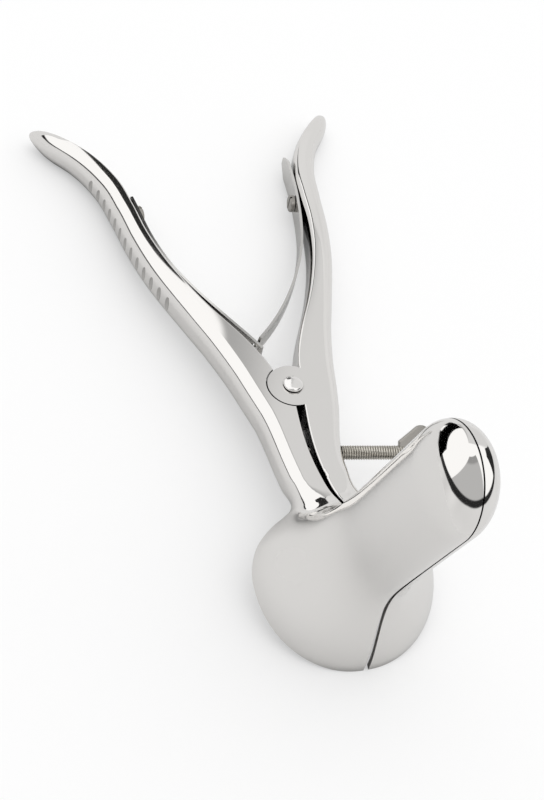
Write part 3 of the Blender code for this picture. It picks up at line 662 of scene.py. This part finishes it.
def left_spring(finish):
    """Tapered strip with a slot near its end, which holds the other strip's tongue."""
    seat = spring_seat(-1)
    tail = spring_seat(-1, LEFT_SPRING_TAIL)
    hook = spring_hook()
    tip = hook + toward(LEFT_SPRING_END_TURN, LEFT_SPRING_OVERRUN)
    way = SPRING_HOOK_Y - SPRING_SCREW_Y
    bow = [spring_seat(-1, way * (1 - part), lift) for part, lift in LEFT_SPRING_LIFTS]
    path = arc_points([tail, seat, *bow, tuple(hook), tuple(tip)], SPRING_STEPS)
    widths = np.linspace(SPRING_WIDTH, SPRING_HOOK_WIDTH, SPRING_STEPS)
    thing = strip("left_spring", path, widths, finish)
    along = toward(LEFT_SPRING_END_TURN, SLOT_LENGTH / 2)
    across = toward(LEFT_SPRING_END_TURN + math.pi / 2, SLOT_TOOL_REACH)
    corners = [hook + along + across, hook + along - across, hook - along - across, hook - along + across]
    rings = [[(c.x, c.y, MID_Z + z) for c in corners] for z in (-SLOT_WIDTH / 2, SLOT_WIDTH / 2)]
    boolean(thing, mesh_object("left_spring_slot", loft(rings)))
    return thing


def spring_screw(name, side, finish):
    """Slotted cheese-head screw through a strip into its handle; local Z points to its head."""
    x, out = inner_face(side, SPRING_SCREW_Y)
    under_head = 2 * GAP + SPRING_THICKNESS
    top = under_head + SPRING_SCREW_HEAD_HEIGHT
    profile = [(-SPRING_SCREW_REACH, SPRING_SCREW_RADIUS), (under_head, SPRING_SCREW_RADIUS),
               (under_head, SPRING_SCREW_HEAD_RADIUS), (top - SPRING_SCREW_EDGE, SPRING_SCREW_HEAD_RADIUS),
               (top, SPRING_SCREW_HEAD_RADIUS - SPRING_SCREW_EDGE)]
    thing = mesh_object(name, turned(profile, SCREW_SIDES), finish)
    reach = SPRING_SCREW_SLOT_REACH
    half = SPRING_SCREW_SLOT / 2
    ring = [(-reach, -half), (reach, -half), (reach, half), (-reach, half)]
    rings = [[(a, b, z) for a, b in ring] for z in (top - SPRING_SCREW_SLOT_DEPTH, top + reach)]
    slot = mesh_object(name + "_slot", loft(rings))
    place = axis_matrix(x, SPRING_SCREW_Y, out)
    thing.matrix_world = place
    slot.matrix_world = place
    boolean(thing, slot)
    return thing


def spring_screw_hole(name, side):
    x, out = inner_face(side, SPRING_SCREW_Y)
    depth = SPRING_SCREW_REACH + GAP
    tool = cylinder(name, SPRING_SCREW_RADIUS + HOLE_CLEARANCE, -depth, depth)
    tool.matrix_world = axis_matrix(x, SPRING_SCREW_Y, out)
    return tool


# Rivet and thumb screw

def pivot_rivet(finish):
    dome_height = RIVET_HEAD_HEIGHT - RIVET_HEAD_EDGE
    head = [(GAP + RIVET_HEAD_EDGE + dome_height * math.sin(a), RIVET_HEAD_RADIUS * math.cos(a))
            for a in quarter_turn(DOME_STEPS)]
    head[-1] = (head[-1][0], 0.0)
    profile = [(-LEVER_DEPTH, RIVET_TAIL_RADIUS), (-LEVER_DEPTH + RIVET_TAIL_HEIGHT, RIVET_RADIUS),
               (GAP, RIVET_RADIUS), (GAP, RIVET_HEAD_RADIUS - RIVET_HEAD_EDGE / 3)]
    return mesh_object("pivot_rivet", turned(profile + head), finish)


def pivot_hole(name):
    wide = RIVET_TAIL_RADIUS + HOLE_CLEARANCE
    bore = RIVET_RADIUS + HOLE_CLEARANCE
    profile = [(-LEVER_DEPTH - PAST, wide), (-LEVER_DEPTH, wide),
               (-LEVER_DEPTH + RIVET_TAIL_HEIGHT, bore), (PAST, bore)]
    return mesh_object(name, turned(profile))


def set_screw_place():
    """The screw's tip on the right arm's inner face, its local Z towards its wing."""
    inner, _ = arm_edges(1, SET_SCREW_Y)
    direction = (math.cos(SET_SCREW_ANGLE), math.sin(SET_SCREW_ANGLE))
    return axis_matrix(float(inner) - SET_SCREW_PROUD, SET_SCREW_Y, direction)


def set_screw_exit():
    """Length of the screw inside the right arm."""
    inner, outer = arm_edges(1, SET_SCREW_Y)
    return float(outer - inner) / math.cos(SET_SCREW_ANGLE)


def thumb_screw(finish):
    """Threaded stud with a flat flared wing; local Z runs from the tip to the wing."""
    wing_start = set_screw_exit() + SET_SCREW_FREE_THREAD
    profile = [(0.0, SET_SCREW_RADIUS - SET_SCREW_TIP_CHAMFER), (SET_SCREW_TIP_CHAMFER, SET_SCREW_RADIUS),
               (wing_start + WING_LENGTH / 2, SET_SCREW_RADIUS)]
    stud = mesh_object("thumb_screw", turned(profile, SCREW_SIDES), finish)
    outline = wing_outline(wing_start)
    half = WING_THICKNESS / 2
    rings = [[(t, w, z) for w, z in outline] for t in (-half, half)]
    wing = mesh_object("thumb_screw_wing", loft(rings), finish)
    place = set_screw_place()
    stud.matrix_world = place
    wing.matrix_world = place @ Matrix.Rotation(WING_ROLL, 4, "Z")
    boolean(stud, wing, "UNION")
    return stud


def wing_outline(start):
    """Flared wing: straight flanks from the root to two round lobes with a dip between."""
    lobe = WING_LOBE_RADIUS
    centre_w = WING_TIP_HALF - lobe
    centre_z = start + WING_LENGTH - lobe
    side = [(WING_ROOT_HALF, start)]
    for k in range(WING_STEPS + 1):
        a = -WING_FLANK + k / WING_STEPS * (WING_FLANK + math.pi / 2)
        side.append((centre_w + lobe * math.cos(a), centre_z + lobe * math.sin(a)))
    side.append((centre_w / 2, start + WING_LENGTH - WING_DIP / 2))
    middle = (0.0, start + WING_LENGTH - WING_DIP)
    return [*side, middle, *((-w, z) for w, z in reversed(side))]


# Assembly

def half(name, side, finish):
    """One forged half: lever, blade, lap joint, grooves and holes."""
    thing = lever(name, side, finish)
    boolean(thing, lumen_cutter(name + "_lumen", side))
    boolean(thing, blade(name + "_blade", side, finish), "UNION")
    boolean(thing, groove_cutter(name + "_grooves", side))
    split = GAP / 2
    recess = LOBE_RADIUS + RECESS_CLEARANCE
    if side < 0:
        boolean(thing, cylinder(name + "_recess", recess, MID_Z - split, PAST))
        lobe = cylinder(name + "_lobe", LOBE_RADIUS, -LEVER_DEPTH, MID_Z - split, finish)
    else:
        boolean(thing, cylinder(name + "_recess", recess, -LEVER_DEPTH - PAST, MID_Z + split))
        lobe = cylinder(name + "_lobe", LOBE_RADIUS, MID_Z + split, 0.0, finish)
    boolean(thing, lobe, "UNION")
    boolean(thing, pivot_hole(name + "_bore"))
    boolean(thing, spring_screw_hole(name + "_spring_hole", side))
    return thing


def bore_for_set_screw(target):
    past = PAST + SET_SCREW_RADIUS
    tool = cylinder("set_screw_hole", SET_SCREW_RADIUS + HOLE_CLEARANCE, -past, set_screw_exit() + past)
    tool.matrix_world = set_screw_place()
    boolean(target, tool)


# Materials

# Roughness drifts over the noise's middle range
DRIFT_SCALE = 60.0
DRIFT_DETAIL = 3.0
DRIFT_RANGE = (0.35, 0.65)
# Samples of the occlusion that paints shade into gaps
RECESS_SAMPLES = 8


def node(tree, kind, **values):
    made = tree.nodes.new(kind)
    for name, value in values.items():
        setattr(made, name, value)
    return made


class Shade:
    """Short names for the nodes of one node tree."""

    def __init__(self, tree):
        self.tree = tree

    def feed(self, socket, value):
        if isinstance(value, bpy.types.NodeSocket):
            self.tree.links.new(value, socket)
        else:
            socket.default_value = value

    def fill(self, step, values):
        """Feeds a node's inputs by name."""
        for name, value in values.items():
            self.feed(step.inputs[name], value)

    def worked(self, kind, operation, values):
        step = node(self.tree, kind, operation=operation)
        for socket, value in zip(step.inputs, values):
            self.feed(socket, value)
        return step.outputs

    def math(self, operation, *values):
        return self.worked("ShaderNodeMath", operation, values)[0]

    def vector(self, operation, *values):
        outputs = self.worked("ShaderNodeVectorMath", operation, values)
        return outputs["Value" if operation == "DOT_PRODUCT" else "Vector"]

    def step(self, value, low, high, bottom=0.0, top=1.0, kind="SMOOTHSTEP"):
        """Change from bottom to top while the value goes from low to high."""
        ramp = node(self.tree, "ShaderNodeMapRange", interpolation_type=kind)
        self.fill(ramp, {"Value": value, "From Min": low, "From Max": high, "To Min": bottom,
                         "To Max": top})
        return ramp.outputs["Result"]

    def mix(self, share, first, second):
        """First where the share is 0, second where it is 1."""
        change = self.math("SUBTRACT", second, first)
        return self.math("MULTIPLY_ADD", change, share, first)

    def noise(self, place, scale, detail):
        cloud = node(self.tree, "ShaderNodeTexNoise")
        self.fill(cloud, {"Vector": place, "Scale": scale, "Detail": detail})
        return cloud.outputs["Fac"]


def new_material(name):
    finish = bpy.data.materials.new(name)
    finish.use_nodes = True
    return finish


def steel(name, colour, roughness, spread, recess, shut=0.06, clear=0.50, dark=0.03):
    """Metal whose roughness drifts a little, with painted shade: its colour darkens deep inside narrow
    gaps.
    """
    finish = new_material(name)
    tree = finish.node_tree
    shade = Shade(tree)
    shader = tree.nodes["Principled BSDF"]
    place = node(tree, "ShaderNodeTexCoord")
    drift = shade.noise(place.outputs["Object"], DRIFT_SCALE, DRIFT_DETAIL)
    level = shade.step(drift, *DRIFT_RANGE, roughness - spread, roughness + spread, "LINEAR")
    shade.fill(shader, {"Metallic": 1.0, "Base Color": (*colour, 1.0), "Roughness": level})
    # painted shade: ambient occlusion darkens the colour in slits, grooves, creases and between parts
    occlusion_shade = node(tree, "ShaderNodeAmbientOcclusion", samples=RECESS_SAMPLES)
    occlusion_shade.inputs["Distance"].default_value = recess
    shaded_colour = node(tree, "ShaderNodeVectorMath", operation="SCALE")
    shaded_colour.inputs[0].default_value = colour
    shade.feed(shaded_colour.inputs["Scale"], shade.step(occlusion_shade.outputs["AO"], shut, clear, dark, 1.0))
    shade.feed(shader.inputs["Base Color"], shaded_colour.outputs["Vector"])
    return finish


# Fairing of the arms' roots, within reach of the seam where an arm meets its blade
SEAM_REACH = 9.0
SEAM_CORE = 2.5
FAIRING_ROUNDS = 140
RELAXATION = 0.5
RIDGE_ANGLE = math.radians(55)

# Mesh of the faired region: edges LONG_EDGE times its size are split, close points merge
SEAM_MESH = 0.6
LONG_EDGE = 1.4
SPLIT_ROUNDS = 4
MERGE_DISTANCE = 0.15

# The slit's crest: faces turned to the parting plane and close to it. Beside it lie an unfaired
# margin and a blend.
CREST_FACING = 0.35
CREST_REACH = 6.0
SLIT_MARGINS = {"left": 1.3, "right": 1.9}
SLIT_BLEND = 3.4

SHARP_ANGLE = math.radians(28)


def tree_of(points):
    """Nearest-point search among some points, each taken once."""
    once = {tuple(co): co.copy() for co in points}
    tree = KDTree(len(once))
    for k, co in enumerate(once.values()):
        tree.insert(co, k)
    tree.balance()
    return tree


def soft_step(value, low, high):
    """0 below low, 1 above high and a smooth rise between."""
    share = min(1.0, max(0.0, (value - low) / (high - low)))
    return share ** 2 * (3 - 2 * share)


def faces_near(shape, near):
    """Faces of the region that is faired."""
    reach = SEAM_REACH * MM
    return [f for f in shape.faces if any(near.find(v.co)[2] < reach for v in f.verts)]


def corners(faces):
    """The faces' vertices, each once."""
    return list(dict.fromkeys(v for f in faces for v in f.verts))


def seam_of(shape, blade_slot):
    """Search among the points where the blade's faces meet the others."""
    seam = [e for e in shape.edges if len({f.material_index == blade_slot for f in e.link_faces}) == 2]
    return tree_of(v.co for e in seam for v in e.verts)


def refine(shape, near):
    """Gives the faired region an even triangle mesh."""
    for _ in range(SPLIT_ROUNDS):
        bmesh.ops.triangulate(shape, faces=faces_near(shape, near))
        edges = dict.fromkeys(e for f in faces_near(shape, near) for e in f.edges)
        long_edges = [e for e in edges if e.calc_length() > SEAM_MESH * MM * LONG_EDGE]
        if not long_edges:
            break
        bmesh.ops.subdivide_edges(shape, edges=long_edges, cuts=1)
    bmesh.ops.triangulate(shape, faces=faces_near(shape, near))


def crest_of(shape, near):
    """Search among the points of the slit's crest."""
    crest = []
    for face in faces_near(shape, near):
        middle = face.calc_center_median().x
        facing = face.normal.x * middle < 0 and abs(face.normal.x) > CREST_FACING
        if facing and abs(middle) < CREST_REACH * MM:
            crest += [v.co for v in face.verts]
    return tree_of(crest)


def neighbours(v):
    """What a point relaxes towards: along its ridge where it lies on one, or else all round."""
    ridges = [e.other_vert(v) for e in v.link_edges if len(e.link_faces) == 2 and e.is_convex
              and e.calc_face_angle(0.0) > RIDGE_ANGLE]
    if len(ridges) > 2:
        ways = [(r.co - v.co).normalized() for r in ridges]
        _, i, j = min((ways[i].dot(ways[j]), i, j) for i in range(len(ways)) for j in range(i))
        ridges = [ridges[i], ridges[j]]
    return ridges if len(ridges) == 2 else [e.other_vert(v) for e in v.link_edges]


def relax(mesh, rows, owners, others):
    """Draws the rows' points towards their neighbours' middle, again and again."""
    places = np.empty(len(mesh.vertices) * 3)
    mesh.vertices.foreach_get("co", places)
    places = places.reshape(-1, 3)
    index = np.array([r[0] for r in rows])
    weight = np.array([r[1] for r in rows])[:, None]
    count = np.bincount(owners, minlength=len(rows))[:, None]
    for _ in range(FAIRING_ROUNDS):
        sums = [np.bincount(owners, places[others, axis], len(rows)) for axis in range(3)]
        places[index] += weight * (np.stack(sums, 1) / count - places[index])
    mesh.vertices.foreach_set("co", places.ravel())
    mesh.update()


def fair_root(thing, blade_slot):
    """Relaxes the mesh where an arm flows into its blade; the slit's crest and sharp rims stay."""
    margin = SLIT_MARGINS[thing.name]
    shape = bmesh.new()
    shape.from_mesh(thing.data)
    near = seam_of(shape, blade_slot)
    refine(shape, near)
    slit = crest_of(shape, near)
    spots = [v for v in corners(faces_near(shape, near)) if slit.find(v.co)[2] > margin * MM / 2]
    bmesh.ops.remove_doubles(shape, verts=spots, dist=MERGE_DISTANCE * MM)
    shape.normal_update()
    shape.verts.index_update()
    rows, owners, others = [], [], []
    for v in corners(faces_near(shape, near)):
        weight = 1 - soft_step(near.find(v.co)[2] / MM, SEAM_CORE, SEAM_REACH)
        weight *= soft_step(slit.find(v.co)[2] / MM, margin, margin + SLIT_BLEND)
        if weight > 0:
            ring = neighbours(v)
            owners += [len(rows)] * len(ring)
            others += [w.index for w in ring]
            rows.append((v.index, RELAXATION * weight))
    shape.to_mesh(thing.data)
    shape.free()
    relax(thing.data, rows, np.array(owners), np.array(others))


def bake(thing):
    """Turns the object's modifiers into a plain mesh."""
    bpy.context.view_layer.update()
    graph = bpy.context.evaluated_depsgraph_get()
    mesh = bpy.data.meshes.new_from_object(thing.evaluated_get(graph))
    thing.modifiers.clear()
    thing.data = mesh
    return mesh


def complete(thing):
    """Bakes a piece, fairs its root where it has a blade, and evens its shading."""
    mesh = bake(thing)
    marked = mesh.materials.find("blade_mark")
    if marked >= 0:
        fair_root(thing, marked)
        for face in mesh.polygons:
            face.material_index = 0 if face.material_index == marked else face.material_index
        mesh.materials.pop(index=marked)
    mesh.shade_smooth()
    mesh.set_sharp_from_angle(angle=SHARP_ANGLE)
    even = thing.modifiers.new("even", "WEIGHTED_NORMAL")
    even.keep_sharp = True
    bake(thing)


def carry_finish(step, finish):
    """A Boolean's own object brings its finish along."""
    step.material_mode = "TRANSFER"
    step.object.data.materials.clear()
    step.object.data.materials.append(finish)


def remove_tools(kept):
    for old in [o for o in bpy.data.objects if o.type == "MESH" and o.hide_render]:
        if "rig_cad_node" not in old and old not in kept:
            bpy.data.objects.remove(old, do_unlink=True)


def stand_in(thing, body, cad_node):
    """Puts a finished piece into the row frame, on its body and in place of its CAD node."""
    thing.data.transform(PLACE @ thing.matrix_world)
    thing.matrix_world = Matrix.Identity(4)
    thing.name = "fine_" + cad_node
    if body:
        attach(thing, body)
    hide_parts(cad_node)


# Thread of the set screw
THREAD_PITCH = 0.7
THREAD_DEPTH = 0.30
THREAD_STEPS = 6
THREAD_SIDES = 36
THREAD_SMOOTH_ANGLE = 60.0


def threaded_stud(finish):
    """The stud with a helical thread cut between its tip and the wing's root."""
    end = set_screw_exit() + SET_SCREW_FREE_THREAD + WING_LENGTH / 2
    count = int(end / THREAD_PITCH * THREAD_STEPS)
    rings = []
    for z in np.linspace(0.0, end, count):
        core = min(1.0, z / SET_SCREW_TIP_CHAMFER)
        ring = []
        for k in range(THREAD_SIDES):
            turn = k / THREAD_SIDES
            wave = 0.5 + 0.5 * math.cos(2 * math.pi * (z / THREAD_PITCH - turn))
            radius = SET_SCREW_RADIUS - SET_SCREW_TIP_CHAMFER * (1 - core) - THREAD_DEPTH * wave
            ring.append((radius * math.cos(2 * math.pi * turn), radius * math.sin(2 * math.pi * turn), z))
        rings.append(ring)
    stud = mesh_object("threaded_stud", loft(rings), finish, THREAD_SMOOTH_ANGLE)
    mesh = stud.data
    bpy.data.objects.remove(stud)
    return mesh


# Rounding of the wing's edges
WING_ROUNDING = 0.45
ROUNDING_SEGMENTS = 4


def soften(thing):
    rounding = thing.modifiers.new("rounding", "BEVEL")
    rounding.width = WING_ROUNDING * MM
    rounding.segments = ROUNDING_SEGMENTS


# Pieces

joint = next(j for j in frame["joints"] if j["name"] == "blade_pivot")
pivot_axis = Vector(joint["axis"])
PLACE = (Matrix.Translation(Vector(joint["pos_m"]))
         @ Matrix.Rotation(math.atan2(-pivot_axis.y, pivot_axis.z), 4, "X"))

# After the roughness and its drift, each finish gives its painted shade: the occlusion's reach in metres
# and, where listed, the occlusion levels over which the colour darkens and its darkest share.
polished = steel("fine_polished_steel", (0.82, 0.805, 0.785), 0.07, 0.02, 0.007, 0.06, 0.85)
# The grooves' darker colour is painted shade in the grooves. Their higher roughness is their own finish.
shaded_groove_steel = steel("fine_groove_steel", (0.50, 0.49, 0.475), 0.22, 0.04, 0.001)
bright = steel("fine_rivet_steel", (0.84, 0.825, 0.81), 0.18, 0.03, 0.002)
spring_steel = steel("fine_spring_steel", (0.68, 0.67, 0.65), 0.12, 0.03, 0.003)
screw_steel = steel("fine_screw_steel", (0.36, 0.345, 0.32), 0.28, 0.05, 0.001)
# Strong occlusion paints shade into the valleys of the thread.
thread_steel = steel("fine_thread_steel", (0.66, 0.63, 0.57), 0.20, 0.04, 0.0008, 0.45, 0.95, 0.10)

left = half("left", -1, polished)
right = half("right", 1, polished)
bore_for_set_screw(right)
strips = [left_spring(spring_steel), right_spring(spring_steel)]
for side, thing in zip((-1, 1), strips):
    boolean(thing, spring_screw_hole(thing.name + "_hole", side))
screws = [spring_screw("left_screw", -1, screw_steel), spring_screw("right_screw", 1, screw_steel)]
rivet = pivot_rivet(bright)
set_screw = thumb_screw(screw_steel)
set_screw.data = threaded_stud(thread_steel)
soften(bpy.data.objects["thumb_screw_wing"])
blade_mark = bpy.data.materials.new("blade_mark")
for thing in (left, right):
    for step in thing.modifiers:
        if step.object.name.endswith(("_grooves", "_blade")):
            carry_finish(step, blade_mark if "_blade" in step.object.name else shaded_groove_steel)
for step in set_screw.modifiers:
    carry_finish(step, screw_steel)
pieces = [left, right, *strips, *screws, rivet, set_screw]
for thing in pieces:
    complete(thing)
remove_tools(pieces)

stand_in(left, "left_lever", "left_half")
stand_in(right, "right_lever", "right_half")
stand_in(rivet, "left_lever", "pivot_rivet")
stand_in(strips[0], "left_lever", "left_spring")
stand_in(strips[1], None, "right_spring")
stand_in(screws[0], "left_lever", "left_spring_screw")
stand_in(screws[1], "right_lever", "right_spring_screw")
stand_in(set_screw, "set_screw", "thumb_screw")
bend_end = PLACE @ (Vector((*spring_hook(), MID_Z)) * MM)
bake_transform(strips[1])


# Camera, matched to the photograph: its right, up and back axes, and its place in millimetres
CAMERA_ROWS = ((0.94271, -0.28381, 0.17537), (0.10534, 0.75197, 0.65073), (-0.31656, -0.59498, 0.73878))
CAMERA_PLACE = (-151.11, -274.33, 335.18)
LENS = 74.630
SENSOR = 36.0
CLIP_START = 0.01
CLIP_END = 10.0


def photo_camera():
    turn = Matrix(CAMERA_ROWS).transposed().to_4x4()
    lens = bpy.data.cameras.new("photo_camera")
    lens.lens = LENS
    lens.sensor_fit = "VERTICAL"
    lens.sensor_height = SENSOR
    lens.clip_start = CLIP_START
    lens.clip_end = CLIP_END
    camera = new_object("photo_camera", lens)
    camera.matrix_world = PLACE @ Matrix.Translation(Vector(CAMERA_PLACE) * MM) @ turn
    bpy.context.scene.camera = camera


# Studio: a light tent, which only mirrored rays see. Places are in metres, and directions from
# its centre are a turn about the vertical and a rise, in degrees.
TENT_CENTRE = (-0.024, 0.016, 0.099)
TENT_RADIUS = 0.156
TENT_OPEN_BELOW = 0.035
TENT_SIDES = 64
HALF_TURN = 180.0
FULL_TURN = 360.0

# Lower and upper edge of the dark gap, as (turn, rise)
GAP_LOW = ((0, -1), (58, -1), (62, -4), (65, -26), (80, -26), (84, -30), (88, -36), (100, -34),
           (112, -25), (120, -21), (135, -20), (150, -20), (165, -18), (180, -17), (210, -15), (240, -13),
           (270, -7), (290, -5), (310, -4), (338, -3), (345, -1), (360, -1))
GAP_HIGH = ((0, -1), (58, -1), (62, -1), (66, 9), (80, 9), (86, -20), (90, -31), (100, -28),
            (112, -18), (120, -15), (135, -13), (150, -12), (165, -11.5), (180, -11), (210, -9), (240, -6),
            (270, -3), (290, -1), (306, 0), (314, 20), (332, 22), (342, -1), (360, -1))
GAP_BLUR = 0.6

# Brightness of the tent's parts
LOWER_WALL = 0.82
DARK_GAP = 0.025
PLAIN_PANEL = 0.77
EDGE_PANEL = 0.46
WHITE_PANEL = 1.16
GREY_PANEL = 0.55
SHADED_PANEL = 0.35

# Turns, or rises, over which one panel passes into the next. The grey panel's edge leans.
EDGE_TURNS = (48.5, 60.5)
WHITE_TURNS = (60.5, 62.5)
GREY_TURNS = (228.0, 229.5)
GREY_LEAN = -0.4
SHADED_RISES = (27.0, 34.0)
GREY_TOP_RISES = (45.0, 47.0)
FRONT_TURNS = (284.0, 285.5)
PLAIN_TURNS = (330.0, 340.0)

# Clouds on the lower wall
CLOUDS = 0.16
CLOUD_SCALE = 2.4
CLOUD_DETAIL = 1.0

# Small dark card behind the nose, seen only in the mirror of the steel
DARK_CARD = ((-0.062, -0.054, 0.080), (0.006, -0.040, 0.092),
             (0.010, -0.040, 0.110), (-0.052, -0.052, 0.098))

FLOOR_REACH = 3.0
FLOOR_WHITE = 0.54
FLOOR_GLOW = 0.42
FLOOR_IN_STEEL = 0.76

# Soft light of the room: away from the key side and towards it
KEY_SIDE = tuple(Vector((0.62, 0.45, 0.64)).normalized())
KEY_RANGE = (-0.2, 1.0)
ROOM_LEVELS = (0.55, 1.49)
WHITE = (1.0, 1.0, 1.0, 1.0)
BLACK = (0.0, 0.0, 0.0, 1.0)


def curve(shade, value, points):
    """Value read off a line through points, over a full turn."""
    reading = node(shade.tree, "ShaderNodeFloatCurve")
    line = reading.mapping.curves[0]
    reading.mapping.use_clip = False
    for k, (at, level) in enumerate(points):
        spot = line.points[k] if k < 2 else line.points.new(0.5, 0.5)
        spot.location = (at / FULL_TURN, 0.5 + level / HALF_TURN)
        spot.handle_type = "VECTOR"
    reading.mapping.update()
    shade.feed(reading.inputs["Value"], shade.math("DIVIDE", value, FULL_TURN))
    high = shade.math("SUBTRACT", reading.outputs[0], 0.5)
    return shade.math("MULTIPLY", high, HALF_TURN)


def tent(tree):
    """Light of the tent's inner side: pale lower walls, a dark gap and bright panels above it."""
    shade = Shade(tree)
    place = node(tree, "ShaderNodeNewGeometry")
    to = shade.vector("NORMALIZE", shade.vector("SUBTRACT", place.outputs["Position"], TENT_CENTRE))
    parts = node(tree, "ShaderNodeSeparateXYZ")
    tree.links.new(to, parts.inputs[0])
    rise = shade.math("MULTIPLY", shade.math("ARCSINE", parts.outputs["Z"]), HALF_TURN / math.pi)
    turn = shade.math("ARCTAN2", parts.outputs["Y"], parts.outputs["X"])
    turn = shade.math("MULTIPLY_ADD", turn, HALF_TURN / math.pi, FULL_TURN)
    turn = shade.math("MODULO", turn, FULL_TURN)
    above_low, above_high = (
        shade.step(shade.math("SUBTRACT", rise, curve(shade, turn, gap)), -GAP_BLUR, GAP_BLUR)
        for gap in (GAP_LOW, GAP_HIGH))
    grey = shade.mix(shade.step(rise, *SHADED_RISES), GREY_PANEL, SHADED_PANEL)
    grey = shade.mix(shade.step(rise, *GREY_TOP_RISES), grey, WHITE_PANEL)
    swing = shade.math("MULTIPLY_ADD", rise, GREY_LEAN, turn)
    # plain at the right, white round the back and left, grey in front, white again
    panel = PLAIN_PANEL
    for reading, span, level in ((turn, EDGE_TURNS, EDGE_PANEL), (turn, WHITE_TURNS, WHITE_PANEL),
                                 (swing, GREY_TURNS, grey), (turn, FRONT_TURNS, WHITE_PANEL),
                                 (turn, PLAIN_TURNS, PLAIN_PANEL)):
        panel = shade.mix(shade.step(reading, *span), panel, level)
    cloud = shade.noise(to, CLOUD_SCALE, CLOUD_DETAIL)
    wall = shade.mix(cloud, LOWER_WALL * (1 - CLOUDS), LOWER_WALL * (1 + CLOUDS))
    return shade.mix(above_high, shade.mix(above_low, wall, DARK_GAP), panel)


def only_mirrored(thing):
    """Lets only mirrored rays see an object."""
    for ray in ("camera", "diffuse", "shadow", "volume_scatter"):
        setattr(thing, "visible_" + ray, False)


def lay_floor():
    """Pale paper, lifted a little for the camera and set apart for the mirror of the steel."""
    r = FLOOR_REACH
    mesh = bpy.data.meshes.new("floor")
    mesh.from_pydata([(-r, -r, 0), (r, -r, 0), (r, r, 0), (-r, r, 0)], [], [(0, 1, 2, 3)])
    paper = new_material("paper")
    shader = paper.node_tree.nodes["Principled BSDF"]
    shade = Shade(paper.node_tree)
    rays = node(paper.node_tree, "ShaderNodeLightPath")
    white = shade.mix(rays.outputs["Is Glossy Ray"], FLOOR_WHITE, FLOOR_IN_STEEL)
    glow = shade.math("MULTIPLY", rays.outputs["Is Camera Ray"], FLOOR_GLOW)
    shade.fill(shader, {"Base Color": white, "Emission Color": WHITE, "Emission Strength": glow,
                        "Roughness": 1.0, "Specular IOR Level": 0.0})
    mesh.materials.append(paper)
    floor = new_object("floor", mesh)


def raise_tent():
    shell = bmesh.new()
    bmesh.ops.create_uvsphere(shell, u_segments=TENT_SIDES, v_segments=TENT_SIDES // 2, radius=TENT_RADIUS)
    low = [v for v in shell.verts if v.co.z < TENT_OPEN_BELOW - TENT_CENTRE[2]]
    bmesh.ops.delete(shell, geom=low, context="VERTS")
    mesh = bpy.data.meshes.new("light_tent")
    shell.to_mesh(mesh)
    shell.free()
    cloth = new_material("light_tent")
    cloth.cycles.emission_sampling = "NONE"
    tree = cloth.node_tree
    tree.nodes.clear()
    glow = node(tree, "ShaderNodeEmission")
    tree.links.new(tent(tree), glow.inputs["Strength"])
    seen = node(tree, "ShaderNodeOutputMaterial")
    tree.links.new(glow.outputs[0], seen.inputs["Surface"])
    mesh.materials.append(cloth)
    dome = new_object("light_tent", mesh)
    dome.location = TENT_CENTRE
    only_mirrored(dome)


def hang_card():
    mesh = bpy.data.meshes.new("dark_card")
    mesh.from_pydata(DARK_CARD, [], [(0, 1, 2, 3)])
    black = new_material("dark_card")
    shader = black.node_tree.nodes["Principled BSDF"]
    Shade(black.node_tree).fill(shader, {"Base Color": BLACK, "Specular IOR Level": 0.0})
    mesh.materials.append(black)
    card = new_object("dark_card", mesh)
    only_mirrored(card)


def light_room():
    """White for the camera, and for the object soft light that comes mostly from the key side."""
    world = bpy.data.worlds.new("studio")
    bpy.context.scene.world = world
    world.use_nodes = True
    tree = world.node_tree
    tree.nodes.clear()
    shade = Shade(tree)
    out = node(tree, "ShaderNodeOutputWorld")
    rays = node(tree, "ShaderNodeLightPath")
    place = node(tree, "ShaderNodeTexCoord")
    key = shade.vector("DOT_PRODUCT", shade.vector("NORMALIZE", place.outputs["Generated"]), KEY_SIDE)
    soft = shade.mix(shade.step(key, *KEY_RANGE), *ROOM_LEVELS)
    mirrored = shade.math("MAXIMUM", rays.outputs["Is Glossy Ray"], rays.outputs["Is Transmission Ray"])
    level = shade.mix(mirrored, soft, LOWER_WALL)
    level = shade.mix(rays.outputs["Is Camera Ray"], level, 1.0)
    light = node(tree, "ShaderNodeBackground")
    shade.fill(light, {"Color": WHITE, "Strength": level})
    tree.links.new(light.outputs["Background"], out.inputs["Surface"])


photo_camera()
lay_floor()
raise_tent()
hang_card()
light_room()
bpy.context.scene.view_settings.view_transform = "Standard"
